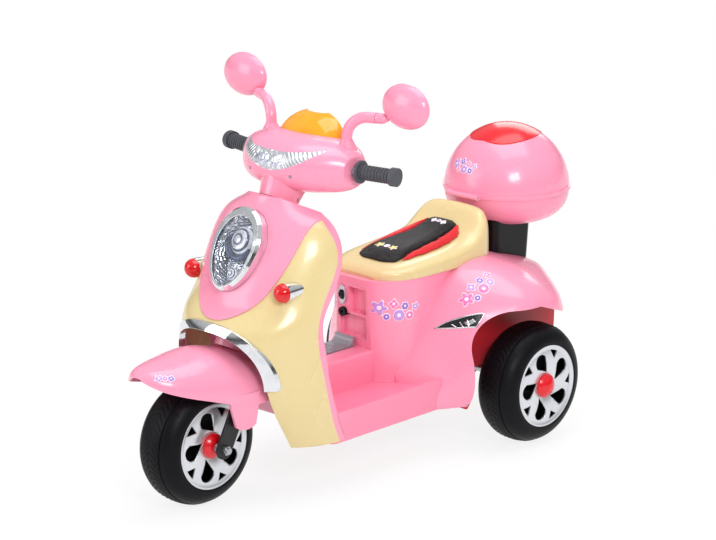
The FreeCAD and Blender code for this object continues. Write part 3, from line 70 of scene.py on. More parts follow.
def paint(code: str) -> Colour:
    """Linear colour of a six-digit sRGB code.

    Args:
        code: Red, green and blue as hexadecimal digits.

    Returns:
        The colour in linear light, opaque.
    """
    raw = np.array([int(code[i : i + 2], 16) for i in (0, 2, 4)]) / 255
    lin = np.where(raw <= 0.04045, raw / 12.92, ((raw + 0.055) / 1.055) ** 2.4)
    return (float(lin[0]), float(lin[1]), float(lin[2]), 1.0)


class Value:
    """A shader socket's value; the usual operators on it add Math nodes."""

    def __init__(self, graph: "Graph", socket: bpy.types.NodeSocket) -> None:
        """Wraps one output socket of a graph."""
        self.graph = graph
        self.socket = socket

    def __add__(self, other: "Value | float") -> "Value":
        """Sum."""
        return self.graph.math("ADD", self, other)

    __radd__ = __add__

    def __sub__(self, other: "Value | float") -> "Value":
        """Difference."""
        return self.graph.math("SUBTRACT", self, other)

    def __rsub__(self, other: float) -> "Value":
        """Difference from a number."""
        return self.graph.math("SUBTRACT", other, self)

    def __mul__(self, other: "Value | float") -> "Value":
        """Product."""
        return self.graph.math("MULTIPLY", self, other)

    __rmul__ = __mul__

    def __truediv__(self, other: "Value | float") -> "Value":
        """Quotient."""
        return self.graph.math("DIVIDE", self, other)

    def __pow__(self, other: "Value | float") -> "Value":
        """Power."""
        return self.graph.math("POWER", self, other)

    def __abs__(self) -> "Value":
        """Size without sign."""
        return self.graph.math("ABSOLUTE", self)

    def sine(self) -> "Value":
        """Sine of an angle in radians."""
        return self.graph.math("SINE", self)

    def part(self) -> "Value":
        """What is left after the whole number."""
        return self.graph.math("FRACT", self)

    def root(self) -> "Value":
        """Square root."""
        return self.graph.math("SQRT", self)

    def turn(self, other: "Value") -> "Value":
        """Angle of the point (other, self) about the middle."""
        return self.graph.math("ARCTAN2", self, other)

    def least(self, other: "Value | float") -> "Value":
        """The smaller of two."""
        return self.graph.math("MINIMUM", self, other)

    def most(self, other: "Value | float") -> "Value":
        """The larger of two."""
        return self.graph.math("MAXIMUM", self, other)

    def eased(self, low: float, high: float) -> "Value":
        """Smooth step from zero at low to one at high.

        Args:
            low: Where the step starts.
            high: Where it ends.

        Returns:
            The eased value.
        """
        settings = {"interpolation_type": "SMOOTHSTEP"}
        inputs = {"Value": self, "From Min": low, "From Max": high}
        node = self.graph.node("ShaderNodeMapRange", settings, inputs)
        return Value(self.graph, node.outputs["Result"])

    def within(self, start: float, full: float, fade: float, end: float) -> "Value":
        """One inside a band, zero outside it.

        Args:
            start: Where the band starts to rise.
            full: Where it has risen.
            fade: Where it starts to fall.
            end: Where it has fallen.

        Returns:
            The band.
        """
        return self.eased(start, full) * (1 - self.eased(fade, end))


class Graph:
    """Nodes of one material or world, written as expressions on Value."""

    def __init__(self, name: str, world: bool = False) -> None:
        """Starts an empty material, or an empty world."""
        self.world = world
        self.owner = (bpy.data.worlds if world else bpy.data.materials).new(name)
        self.owner.use_nodes = True
        self.tree = self.owner.node_tree
        self.tree.nodes.clear()
        self._place: Value | None = None

    def node(
        self,
        kind: str,
        settings: Mapping[str, Any] | None = None,
        inputs: Mapping[str | int, Any] | None = None,
    ) -> bpy.types.Node:
        """Adds one node.

        Args:
            kind: The node's type.
            settings: Its properties, set first.
            inputs: Values or links of its sockets, by name or index.

        Returns:
            The new node.
        """
        made = self.tree.nodes.new(kind)
        for key, value in (settings or {}).items():
            setattr(made, key, value)
        for key, value in (inputs or {}).items():
            if isinstance(value, Value):
                self.tree.links.new(value.socket, made.inputs[key])
            else:
                made.inputs[key].default_value = value
        return made

    def math(self, operation: str, *values: "Value | float") -> Value:
        """Value of one Math node over the given values."""
        made = self.node("ShaderNodeMath", {"operation": operation}, dict(enumerate(values)))
        return Value(self, made.outputs[0])

    @property
    def place(self) -> Value:
        """The point on the piece, in the shared frame."""
        if self._place is None:
            self._place = Value(self, self.node("ShaderNodeTexCoord").outputs["Object"])
        return self._place

    def axes(self) -> tuple[Value, Value, Value]:
        """The point's three coordinates."""
        made = self.node("ShaderNodeSeparateXYZ", None, {0: self.place})
        return Value(self, made.outputs[0]), Value(self, made.outputs[1]), Value(self, made.outputs[2])

    def stretched(self, scale: Point, turn: Point = (0, 0, 0)) -> Value:
        """The point scaled along each axis after a turn.

        Args:
            scale: Factors along X, Y and Z.
            turn: Angles about X, Y and Z in radians.

        Returns:
            The mapped point.
        """
        made = self.node("ShaderNodeMapping", None, {"Vector": self.place, "Scale": scale, "Rotation": turn})
        return Value(self, made.outputs[0])

    def noise(self, scale: float, detail: float = 2.0, rough: float = 0.5, at: Value | None = None) -> Value:
        """Soft noise from zero to one.

        Args:
            scale: Waves per metre.
            detail: Number of finer layers.
            rough: Strength of the finer layers.
            at: Point to read, or the piece's own.

        Returns:
            The noise value.
        """
        inputs = {"Vector": at or self.place, "Scale": scale, "Detail": detail, "Roughness": rough}
        return Value(self, self.node("ShaderNodeTexNoise", None, inputs).outputs[0])

    def cells(self, scale: float, feature: str = "F1", at: Value | None = None) -> Value:
        """Distance within a pattern of cells.

        Args:
            scale: Cells per metre.
            feature: Which distance the pattern gives.
            at: Point to read, or the piece's own.

        Returns:
            The distance value.
        """
        inputs = {"Vector": at or self.place, "Scale": scale}
        made = self.node("ShaderNodeTexVoronoi", {"feature": feature}, inputs)
        return Value(self, made.outputs["Distance"])

    def mix(self, factor: "Value | float", first: "Colour | Value", second: "Colour | Value") -> Value:
        """Colour between two.

        Args:
            factor: Zero for the first, one for the second.
            first: A colour.
            second: A colour.

        Returns:
            The mixed colour.
        """
        made = self.node("ShaderNodeMix", {"data_type": "RGBA"}, {0: factor, 6: first, 7: second})
        return Value(self, made.outputs[2])

    def rounded(self, radius: float) -> Value:
        """Normals that round every edge by a radius."""
        return Value(self, self.node("ShaderNodeBevel", {"samples": 6}, {"Radius": radius}).outputs[0])

    def edges(self, radius: float) -> Value:
        """Mask of the edges: how far the rounded normal leans from the true one."""
        true = Value(self, self.node("ShaderNodeNewGeometry").outputs["Normal"])
        both = {0: self.rounded(radius), 1: true}
        made = self.node("ShaderNodeVectorMath", {"operation": "DOT_PRODUCT"}, both)
        return (1 - Value(self, made.outputs["Value"])).eased(0.02, 0.25)

    def bump(self, height: Value, depth: float, normal: Value | None = None) -> Value:
        """Normals of a relief.

        Args:
            height: The relief, zero to one.
            depth: Its real height.
            normal: Normals that it stands on.

        Returns:
            The bumped normals.
        """
        inputs: dict[str | int, Any] = {"Height": height, "Distance": depth, "Strength": 1.0}
        if normal is not None:
            inputs["Normal"] = normal
        return Value(self, self.node("ShaderNodeBump", None, inputs).outputs[0])

    def skin(self, colour: Any, rough: Value, normal: Value, more: Mapping[str | int, Any]) -> bpy.types.Node:
        """Principled shader with the inputs that every finish sets.

        Args:
            colour: Its base colour, as a value or four numbers.
            rough: Its roughness.
            normal: Its normals.
            more: Its other sockets.

        Returns:
            The shader.
        """
        inputs = {"Base Color": colour, "Roughness": rough, "Normal": normal, **more}
        return self.node("ShaderNodeBsdfPrincipled", None, inputs)

    def blend(self, factor: Value, first: bpy.types.Node, second: bpy.types.Node) -> bpy.types.Node:
        """Mixes two shaders.

        Args:
            factor: Zero for the first, one for the second.
            first: A shader.
            second: A shader.

        Returns:
            The mixing node.
        """
        made = self.node("ShaderNodeMixShader", None, {0: factor})
        for socket, shader in ((1, first), (2, second)):
            self.tree.links.new(shader.outputs[0], made.inputs[socket])
        return made

    def end(self, shader: bpy.types.Node) -> "bpy.types.Material | bpy.types.World":
        """Joins a shader to the output and returns the material or world."""
        output = self.node("ShaderNodeOutputWorld" if self.world else "ShaderNodeOutputMaterial")
        self.tree.links.new(shader.outputs[0], output.inputs["Surface"])
        return self.owner


@dataclass(frozen=True)
class Finish(ABC):
    """A surface finish that gives a material once."""

    name: str
    _made: ClassVar[dict["Finish", bpy.types.Material]] = {}

    @abstractmethod
    def build(self, g: Graph) -> bpy.types.Material:
        """Makes the material.

        Args:
            g: Its graph, still empty.

        Returns:
            The material.
        """

    def material(self) -> bpy.types.Material:
        """The material, made on first use."""
        if self not in Finish._made:
            Finish._made[self] = self.build(Graph(self.name))
        return Finish._made[self]

    def on_nodes(self, *names: str) -> None:
        """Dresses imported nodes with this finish."""
        for name in names:
            mesh = NODES[name].data
            mesh.materials.clear()
            mesh.materials.append(self.material())
            log.info("dressed %s in %s", name, self.material().name)

    def on(self, piece: bpy.types.Object) -> bpy.types.Object:
        """Dresses a made piece with this finish and returns it."""
        piece.data.materials.clear()
        piece.data.materials.append(self.material())
        return piece


@dataclass(frozen=True)
class Moulded(Finish):
    """Glossy moulded plastic with flow marks, fine peel, hairline scuffs and paler edges."""

    colour: Colour
    deep: Colour
    pale: Colour
    roughness: float = 0.24
    coat: float = 0.30
    edge: float = 0.0011

    def tones(self, g: Graph) -> tuple["Colour | Value", "Colour | Value"]:
        """The plastic's colour and its deeper cast.

        Args:
            g: The graph that uses them.

        Returns:
            Both colours.
        """
        return self.colour, self.deep

    def build(self, g: Graph) -> bpy.types.Material:
        """Makes the plastic: a slow tone change, stretched scuffs in the gloss and a fine peel."""
        tone = g.noise(7.0, 3.0).eased(0.3, 0.75)
        colour = g.mix(tone * 0.35, *self.tones(g))
        colour = g.mix(g.edges(self.edge * 1.6) * 0.32, colour, self.pale)
        scuffs = g.noise(55.0, 5.0, 0.7, g.stretched((1.0, 6.0, 1.4), (0.3, 0.2, 0.5))).eased(0.55, 0.85)
        handled = g.noise(14.0, 2.0).eased(0.35, 0.8)
        rough = self.roughness + 0.10 * scuffs + 0.05 * handled
        peel = g.noise(620.0, 2.0) * 0.7 + g.noise(120.0, 1.0) * 0.3
        normal = g.bump(peel, 0.00005, g.rounded(self.edge))
        more = {
            "Coat Weight": self.coat,
            "Coat Roughness": 0.08,
            "Specular IOR Level": 0.5,
            "Subsurface Weight": 0.06,
            "Subsurface Radius": (0.004, 0.002, 0.0015),
            "Subsurface Scale": 0.5,
        }
        return g.end(g.skin(colour, rough, normal, more))


@dataclass(frozen=True)
class Rimmed(Moulded):
    """Moulded plastic with a second colour along its rear edge, whose place is a polynomial of height."""

    rim: Colour = WHITE
    rim_deep: Colour = WHITE
    curve: tuple[float, ...] = ()
    middle: float = 0.32
    span: float = 0.23
    reach: float = 0.010

    def tones(self, g: Graph) -> tuple["Colour | Value", "Colour | Value"]:
        """Both colours, changed to the rim's within its reach of the edge.

        Args:
            g: The graph that uses them.

        Returns:
            The plastic's colour and its deeper cast.
        """
        x, _, z = g.axes()
        height = (z - self.middle) / self.span
        edge: Value | float = self.curve[0]
        for factor in self.curve[1:]:
            edge = height * edge + factor
        past = (x - edge).eased(self.reach - 0.0008, self.reach)
        return g.mix(past, self.rim, self.colour), g.mix(past, self.rim_deep, self.deep)


@dataclass(frozen=True)
class Plated(Finish):
    """Bright vacuum plating over plastic, with faint ripples and hazy patches."""

    colour: Colour
    roughness: float = 0.06
    ripple: float = 0.00006

    def build(self, g: Graph) -> bpy.types.Material:
        """Makes the plating: long ripples in the relief and haze in the gloss."""
        haze = g.noise(46.0, 4.0, 0.6).eased(0.45, 0.8)
        specks = g.noise(900.0, 2.0).eased(0.66, 0.8)
        colour = g.mix(haze * 0.25 + specks * 0.15, self.colour, paint("8f939a"))
        rough = self.roughness + 0.09 * haze + 0.08 * specks
        normal = g.bump(g.noise(38.0, 1.0), self.ripple, g.rounded(0.0009))
        return g.end(g.skin(colour, rough, normal, {"Metallic": 1.0}))


@dataclass(frozen=True)
class Sprayed(Finish):
    """Silver paint on moulded plastic, with fine flake and rubbed edges."""

    colour: Colour
    metal: float = 0.75

    def build(self, g: Graph) -> bpy.types.Material:
        """Makes the paint: cells of flake, a soft cloud, rubbed edges and painted shade, near black, where
        the paint lies deep in recesses.
        """
        flake = g.cells(2600.0).eased(0.1, 0.6)
        cloud = g.noise(18.0, 3.0).eased(0.3, 0.8)
        colour = g.mix(flake * 0.2 + cloud * 0.12, self.colour, paint("9da1a9"))
        colour = g.mix(g.edges(0.0016) * 0.35, colour, paint("f1f3f6"))
        # painted shade: near black and without metal where the face lies deep, as down in a rim cover's
        # windows
        recess_shade = self.recess_shade(g)
        colour = g.mix(recess_shade, colour, paint("08090c"))
        rough = 0.24 + 0.08 * cloud + 0.06 * flake
        normal = g.bump(g.noise(700.0, 2.0), 0.00004, g.rounded(0.0009))
        metal = self.metal * (1 - recess_shade)
        return g.end(g.skin(colour, rough, normal, {"Metallic": metal}))

    def recess_shade(self, g: Graph) -> "Value | float":
        """Share of painted shade, near black and without metal, deep in recesses.

        Args:
            g: The graph that uses it.

        Returns:
            Zero for plain paint, one for full painted shade.
        """
        return 0.0


@dataclass(frozen=True)
class RimPaint(Sprayed):
    """Silver paint on the domed face of a rim cover, with painted shade, near black and without metal, down
    in its windows.
    """

    centre: Point = (0.0, 0.0, 0.0)
    crown: float = 0.0461
    crown_reach: float = 0.048
    fall: float = 4.8
    lip: float = 0.0725

    def recess_shade(self, g: Graph) -> "Value | float":
        """Share of painted shade from the depth under the face, which falls by the square of the way from its
        crown.

        Args:
            g: The graph that uses it.

        Returns:
            Zero for plain paint, one for full painted shade.
        """
        x, y, z = g.axes()
        reach = ((x - self.centre[0]) ** 2.0 + (z - self.centre[2]) ** 2.0).root()
        face = self.crown - self.fall * (reach - self.crown_reach) ** 2.0
        depth = face - abs(y - self.centre[1])
        return depth.eased(0.0016, 0.0034) * (1 - reach.eased(self.lip - 0.0005, self.lip))


@dataclass(frozen=True)
class TyreSide(Finish):
    """Black tyre plastic with curved sipes over the shoulder, rings near the rim and floor dust."""

    centre: Point
    sipes: int = 20
    sipe_lean: float = 9.0
    sipe_band: tuple[float, ...] = (0.0255, 0.027, 0.036, 0.0375)
    shoulder: float = 0.030
    ring_band: tuple[float, float] = (0.0425, 0.044)

    def build(self, g: Graph) -> bpy.types.Material:
        """Makes the tyre: sipes and rings from the angle and distance about the axle."""
        x, y, z = g.axes()
        along = x - self.centre[0]
        up = z - self.centre[2]
        reach = (along * along + up * up).root()
        side = abs(y - self.centre[1])
        angle = up.turn(along)
        lean = (side - self.shoulder) * self.sipe_lean
        slot = (angle * (self.sipes / (2 * math.pi)) + lean).part() - 0.5
        sipe = 1 - abs(slot).eased(0.012, 0.034)
        span = side.within(*self.sipe_band)
        rings = ((reach * 900.0).sine() * 0.5 + 0.5) * side.eased(*self.ring_band)
        dust = g.noise(34.0, 5.0, 0.65).eased(0.5, 0.85)
        fine = g.noise(1100.0, 3.0)
        colour = g.mix(dust * 0.3, paint("0a0a0f"), paint("16161b"))
        # painted shade: the sipe grooves are coloured darker than the rubber around them
        colour = g.mix(sipe * span * 0.8, colour, paint("040406"))
        rough = 0.46 + 0.16 * dust - 0.06 * fine
        height = (1 - sipe * span) * 0.7 + rings * 0.12 + fine * 0.05
        normal = g.bump(height, 0.0009, g.rounded(0.0012))
        return g.end(g.skin(colour, rough, normal, {"Specular IOR Level": 0.14}))


@dataclass(frozen=True)
class Rubbery(Finish):
    """Matt dark rubber or satin black plastic with a fine sparked grain."""

    colour: Colour
    pale: Colour
    roughness: float = 0.5
    grain: float = 1300.0
    gloss: float = 0.4
    depth: float = 0.0001

    def build(self, g: Graph) -> bpy.types.Material:
        """Makes the grain: small cells in the relief, with worn, paler edges."""
        worn = g.noise(30.0, 4.0, 0.6).eased(0.45, 0.85)
        colour = g.mix(worn * 0.3, self.colour, self.pale)
        colour = g.mix(g.edges(0.0014) * 0.4, colour, self.pale)
        rough = self.roughness + 0.14 * worn
        height = g.cells(self.grain) * 0.6 + g.noise(self.grain, 2.0) * 0.4
        normal = g.bump(height, self.depth, g.rounded(0.0008))
        return g.end(g.skin(colour, rough, normal, {"Specular IOR Level": self.gloss}))


@dataclass(frozen=True)
class Steel(Finish):
    """Zinc-plated steel with turned marks and dull spots."""

    colour: Colour = field(default_factory=lambda: paint("b9bcc0"))

    def build(self, g: Graph) -> bpy.types.Material:
        """Makes the steel: fine lines round the piece and dull plating spots."""
        spots = g.noise(160.0, 4.0, 0.6).eased(0.4, 0.8)
        lines = g.noise(420.0, 2.0, 0.5, g.stretched((1.0, 14.0, 1.0)))
        colour = g.mix(spots * 0.4, self.colour, paint("7d7f80"))
        rough = 0.26 + 0.16 * spots + 0.08 * lines
        normal = g.bump(lines, 0.00006, g.rounded(0.0006))
        return g.end(g.skin(colour, rough, normal, {"Metallic": 1.0}))


@dataclass(frozen=True)
class Clear(Finish):
    """Clear or tinted moulded plastic: a see-through share under a glossy skin."""

    colour: Colour
    deep: Colour
    see: float
    flutes: float = 0.0

    def build(self, g: Graph) -> bpy.types.Material:
        """Makes the plastic: see-through and coloured shares mixed by a cloudy mask, with optional flutes."""
        cloud = g.noise(24.0, 3.0).eased(0.3, 0.75)
        smear = g.noise(60.0, 4.0, 0.7, g.stretched((1.0, 3.0, 1.0))).eased(0.5, 0.85)
        colour = g.mix(cloud * 0.6, self.colour, self.deep)
        rough = 0.06 + 0.12 * smear
        height = g.noise(45.0, 1.0)
        if self.flutes:
            _, y, _ = g.axes()
            height = (y * self.flutes).sine() * 0.5 + height * 0.3
        normal = g.bump(height, 0.0002, g.rounded(0.0008))
        skin = g.skin(colour, rough, normal, {"Coat Weight": 0.4, "Coat Roughness": 0.04})
        through = g.node("ShaderNodeBsdfTransparent", None, {"Color": self.colour})
        facing = Value(g, g.node("ShaderNodeFresnel", None, {"IOR": 1.46}).outputs[0])
        front = 1 - Value(g, g.node("ShaderNodeNewGeometry").outputs["Backfacing"])
        share = (1 - self.see) * (0.7 + 0.6 * cloud) + facing * front * 0.6
        return g.end(g.blend(share.least(1.0), through, skin))


@dataclass(frozen=True)
class LampBowl(Finish):
    """Faceted reflector plating: rings about the lamp's middle, cut into cells, with painted reflections
    darker along the rings and the cells' edges.
    """

    centre: Point

    def build(self, g: Graph) -> bpy.types.Material:
        """Makes the bowl: rings by distance from the middle and facets from cells."""
        x, y, z = g.axes()
        flat = (y - self.centre[1]) ** 2.0 + (z - self.centre[2]) ** 2.0
        reach = (flat + (x - self.centre[0]) ** 2.0).root()
        rings = (reach * 1400.0).sine() * 0.5 + 0.5
        facets = g.cells(95.0, "DISTANCE_TO_EDGE").eased(0.0, 0.25)
        # painted reflections: grey along the rings and the facet edges of the bright plating
        colour = g.mix(rings * 0.2 + (1 - facets) * 0.6, paint("f1f3f7"), paint("626b7c"))
        rough = 0.10 + 0.10 * (1 - facets)
        normal = g.bump(rings * 0.5 + facets * 0.5, 0.0008, g.rounded(0.0008))
        return g.end(g.skin(colour, rough, normal, {"Metallic": 0.9}))


@dataclass(frozen=True)
class Projector(Finish):
    """Lamp glass with painted reflections: bright and dark rings about each lamp's own middle, in the lamps'
    tilted plane.
    """

    axle: Point
    rake: float
    lamps: tuple[tuple[float, float], ...]

    def build(self, g: Graph) -> bpy.types.Material:
        """Makes the glass: painted reflections as rings by distance from the nearest lamp's middle, as shares
        of its radius.
        """
        x, y, z = g.axes()
        rise = (z - self.axle[2]) * math.cos(self.rake) - (x - self.axle[0]) * math.sin(self.rake)
        shares = [(y**2.0 + (rise - place) ** 2.0).root() / radius for place, radius in self.lamps]
        share = shares[0]
        for other in shares[1:]:
            share = share.least(other)
        groove = share.within(0.66, 0.70, 0.80, 0.84)
        inner = share.within(0.26, 0.30, 0.38, 0.42)
        swirl = g.noise(70.0, 3.0).eased(0.35, 0.7) * (1 - share.eased(0.60, 0.66))
        # painted reflections: a dark groove ring, an inner ring and a swirl on bright white
        dark = (groove + inner * 0.8 + swirl * 0.45).least(1.0)
        colour = g.mix(dark, paint("f6f7fa"), paint("3a4360"))
        rough = 0.06 + 0.12 * dark
        normal = g.bump((share * 22.0).sine() * 0.5 + 0.5, 0.0007, g.rounded(0.0008))
        return g.end(g.skin(colour, rough, normal, {"Metallic": 0.45, "Coat Weight": 0.5}))


@dataclass(frozen=True)
class RibbedLamp(Finish):
    """Silvered lamp cover with slanted ribs towards its ends and round optics in the middle."""

    rib_start: tuple[float, float] = (0.030, 0.048)
    bulb_side: float = 0.016
    bulb_height: float = 0.604
    bulb_edge: tuple[float, float] = (0.009, 0.013)

    def build(self, g: Graph) -> bpy.types.Material:
        """Makes the cover: ribs by a slanted wave that fades in sideways, facets in the middle."""
        x, y, z = g.axes()
        side = abs(y)
        ribs = (side * 760.0 + z * 620.0 - x * 200.0).sine() * 0.5 + 0.5
        outward = side.eased(*self.rib_start)
        facets = g.cells(85.0, "DISTANCE_TO_EDGE").eased(0.0, 0.3)
        bulb_reach = ((side - self.bulb_side) ** 2.0 + (z - self.bulb_height) ** 2.0).root()
        bulb = 1 - bulb_reach.eased(*self.bulb_edge)
        height = ribs * outward + facets * (1 - outward) * 0.6 + bulb * 0.8
        # painted shade: darker in the valleys between the ribs and along the facet edges
        shade = ((1 - ribs) * outward * 0.75 + (1 - facets) * (1 - outward) * 0.55).least(1.0)
        colour = g.mix(shade, paint("eef0f4"), paint("8b919c"))
        colour = g.mix(bulb * 0.35, colour, paint("b9bfe4"))
        rough = 0.10 + 0.12 * shade
        normal = g.bump(height, 0.0012, g.rounded(0.0008))
        return g.end(g.skin(colour, rough, normal, {"Metallic": 0.55, "Coat Weight": 0.6}))


@dataclass(frozen=True)
class Vinyl(Finish):
    """Padded seat vinyl with a leather grain, soft creases and polished high spots."""

    colour: Colour
    pale: Colour

    def build(self, g: Graph) -> bpy.types.Material:
        """Makes the vinyl: grain cells on soft creases, with a rubbed sheen."""
        grain = g.cells(1050.0, "DISTANCE_TO_EDGE").eased(0.0, 0.22)
        creases = g.noise(42.0, 4.0, 0.6, g.stretched((1.0, 2.2, 1.0)))
        rubbed = g.noise(16.0, 3.0).eased(0.4, 0.8)
        colour = g.mix(rubbed * 0.22 + (1 - grain) * 0.12, self.colour, self.pale)
        rough = 0.42 - 0.10 * rubbed + 0.12 * (1 - grain)
        height = grain * 0.35 + creases * 0.65
        normal = g.bump(height, 0.0007)
        return g.end(g.skin(colour, rough, normal, {"Sheen Weight": 0.04, "Specular IOR Level": 0.3}))


@dataclass(frozen=True)
class Print(Finish):
    """Screen-printed sticker film with ink mottle and a satin laminate."""

    colour: Colour
    pale: Colour

    def build(self, g: Graph) -> bpy.types.Material:
        """Makes the film: a mottle of two inks and tiny dots of the screen."""
        mottle = g.noise(160.0, 3.0).eased(0.35, 0.7)
        dots = g.cells(1500.0).eased(0.25, 0.5)
        colour = g.mix(mottle * 0.6 + dots * 0.15, self.colour, self.pale)
        rough = 0.30 + 0.08 * mottle
        normal = g.bump(g.noise(500.0, 2.0), 0.00003)
        return g.end(g.skin(colour, rough, normal, {"Coat Weight": 0.3}))


class Finishes:
    """Every finish of the motorbike, by the name of what wears it."""

    pink = Moulded("pink shell", paint("f998b5"), paint("f58eae"), paint("ffc4d4"))
    # a darker copy of the pink shell as painted shade in the footwell, rougher and less coated as a matt
    # floor
    pink_low = Moulded("shaded pink floor", paint("f78cab"), paint("f182a2"), paint("ffbacb"), 0.30, 0.2)
    cream = Moulded("cream shell", paint("dfcb94"), paint("d8c28a"), paint("f3e6bd"))
    red = Moulded("red plastic", paint("e01020"), paint("cc0c1c"), paint("f04a50"), 0.20, 0.15)
    # dark red as painted shade: the pink shell's underside over the wheels in shadow, worn by the wheel well
    # liner
    red_low = Moulded("shaded red liner", paint("cc2834"), paint("b01e2a"), paint("de525c"), 0.42, 0.0)
    chrome = Plated("bright plating", paint("e8eaee"))
    silver = Sprayed("silver paint", paint("d6d9de"))
    pedal = Sprayed("pedal silver", paint("9a9da3"), 0.45)
    bowl = LampBowl("reflector plating", (0.297, 0.0, 0.445))
    lamp = Projector("projector glass", AXLE, RAKE, ((0.365, 0.027), (0.303, 0.012)))
    ribbed = RibbedLamp("ribbed lamp cover")
    lens = Clear("clear cover", paint("fbfcfe"), paint("eef2f8"), 0.97)
    amber = Clear("amber screen", paint("ffc22c"), paint("ff9c18"), 0.34, 260.0)
    signal = Clear("signal red", paint("f0121c"), paint("a80a12"), 0.12)
    mirror = Plated("silvered glass", paint("f1f3f5"), 0.02, 0.00001)
    black = Rubbery("satin black", paint("0b0b0d"), paint("242427"), 0.30, gloss=0.22)
    smoked = Rubbery("smoked glass", paint("0d1118"), paint("2a313d"), 0.10, gloss=0.6)
    frame_black = Rubbery("black steel", paint("161618"), paint("4b4b4e"), 0.40, 700.0)
    grip = Rubbery("grip rubber", paint("46484e"), paint("6d7078"), 0.52)
    tread = Rubbery("tread rubber", paint("0a0a0e"), paint("17171b"), 0.50, gloss=0.14)
    zinc = Steel("zinc steel")
    seat_black = Vinyl("black vinyl", paint("0f0f11"), paint("222124"))
    seat_red = Vinyl("red vinyl", paint("e41c28"), paint("f04850"))
    thread = Rubbery("seat thread", paint("2a292b"), paint("5a595c"), 0.6, 2600.0)
    navy = Moulded("navy plastic", paint("2c3d63"), paint("1f2d4e"), paint("5d71a0"), 0.2)
    lilac = Print("lilac ink", paint("c79be6"), paint("b184dc"))
    violet = Print("violet ink", paint("8f6fd6"), paint("7f62c8"))
    white = Print("white ink", paint("fbf4fb"), paint("f3e6f6"))
    rose = Print("rose ink", paint("ee7fc0"), paint("e46bb2"))
    yellow = Print("yellow ink", paint("f2e21c"), paint("e8d210"))


def grid_piece(
    name: str, points: np.ndarray, wrap: tuple[bool, bool] = (False, False), caps: bool = False
) -> bpy.types.Object:
    """Piece whose faces join neighbouring points of one grid or of several alike.

    Args:
        name: The piece's name.
        points: Rows by columns by three coordinates, or a row of such grids.
        wrap: Whether the last row joins the first, and the last column the first.
        caps: Whether the first and last rows are closed by one face each.

    Returns:
        The new object, at the origin.
    """
    grids = points[None] if points.ndim == 3 else points
    count, rows, columns, _ = grids.shape
    index = np.arange(rows * columns).reshape(rows, columns)
    if wrap[0]:
        index = np.vstack([index, index[:1]])
    if wrap[1]:
        index = np.hstack([index, index[:, :1]])
    quads = np.stack([index[:-1, :-1], index[1:, :-1], index[1:, 1:], index[:-1, 1:]], axis=-1)
    shift = np.arange(count) * rows * columns
    faces = (quads.reshape(1, -1, 4) + shift[:, None, None]).reshape(-1, 4).tolist()
    if caps:
        ends = (np.arange(columns), np.arange((rows - 1) * columns, rows * columns)[::-1])
        faces += [(end + step).tolist() for step in shift for end in ends]
    return mesh_piece(name, grids.reshape(-1, 3), faces)


def mesh_piece(name: str, points: np.ndarray, faces: Sequence[Sequence[int]]) -> bpy.types.Object:
    """Smooth-shaded piece from points and faces.

    Args:
        name: The piece's name.
        points: Count by three coordinates.
        faces: Point numbers of each face.

    Returns:
        The new object, at the origin.
    """
    mesh = bpy.data.meshes.new(name)
    mesh.from_pydata(points.tolist(), [], faces)
    mesh.validate()
    mesh.shade_smooth()
    piece = bpy.data.objects.new(name, mesh)
    bpy.context.scene.collection.objects.link(piece)
    return piece


def tube(name: str, path: np.ndarray, radius: float, sides: int = 10, loop: bool = False) -> bpy.types.Object:
    """Round bar along a path: a circle carried on the path's tangent, side and rise at each point.

    Args:
        name: The piece's name.
        path: Points of the path.
        radius: Radius of the bar.
        sides: Points round the circle.
        loop: Whether the path closes on itself.

    Returns:
        The new object.
    """
    if loop:
        ahead = np.roll(path, -1, axis=0) - np.roll(path, 1, axis=0)
    else:
        ahead = np.gradient(path, axis=0)
    ahead /= np.linalg.norm(ahead, axis=1, keepdims=True)
    steady = np.array([0.13, 0.97, 0.21])
    side = np.cross(ahead, steady)
    side /= np.linalg.norm(side, axis=1, keepdims=True)
    rise = np.cross(side, ahead)
    turn = np.linspace(0, 2 * np.pi, sides, endpoint=False)
    ring = np.cos(turn)[None, :, None] * side[:, None, :] + np.sin(turn)[None, :, None] * rise[:, None, :]
    points = path[:, None, :] + radius * ring
    return outward(grid_piece(name, points, (loop, True), caps=not loop))


def bar(name: str, rings: np.ndarray) -> bpy.types.Object:
    """Closed piece from rings of points, capped at both ends.

    Args:
        name: The piece's name.
        rings: Rings by points by three coordinates, or a row of such grids.

    Returns:
        The new object.
    """
    return outward(grid_piece(name, rings, (False, True), caps=True))


def outward(piece: bpy.types.Object) -> bpy.types.Object:
    """Turns a closed piece's faces outwards by the sign of its volume.

    Args:
        piece: A closed piece.

    Returns:
        The same piece.
    """
    places = coordinates(piece)[triangles(piece)]
    volume = np.einsum("ij,ij->i", places[:, 0], np.cross(places[:, 1], places[:, 2])).sum()
    if volume < 0:
        piece.data.flip_normals()
    return piece


def triangles(piece: bpy.types.Object) -> np.ndarray:
    """Point numbers of a piece's triangles as an array of rows."""
    mesh = piece.data
    mesh.calc_loop_triangles()
    corners = np.empty(len(mesh.loop_triangles) * 3, np.int32)
    mesh.loop_triangles.foreach_get("vertices", corners)
    return corners.reshape(-1, 3)


def coordinates(piece: bpy.types.Object) -> np.ndarray:
    """Points of a piece's mesh as an array of rows."""
    places = np.empty(len(piece.data.vertices) * 3, np.float32)
    piece.data.vertices.foreach_get("co", places)
    return places.reshape(-1, 3).astype(float)


def applied(piece: bpy.types.Object) -> bpy.types.Object:
    """Takes a piece's modifiers into its mesh and returns the piece."""
    graph = bpy.context.evaluated_depsgraph_get()
    mesh = bpy.data.meshes.new_from_object(piece.evaluated_get(graph))
    piece.modifiers.clear()
    old = piece.data
    piece.data = mesh
    bpy.data.meshes.remove(old)
    return piece


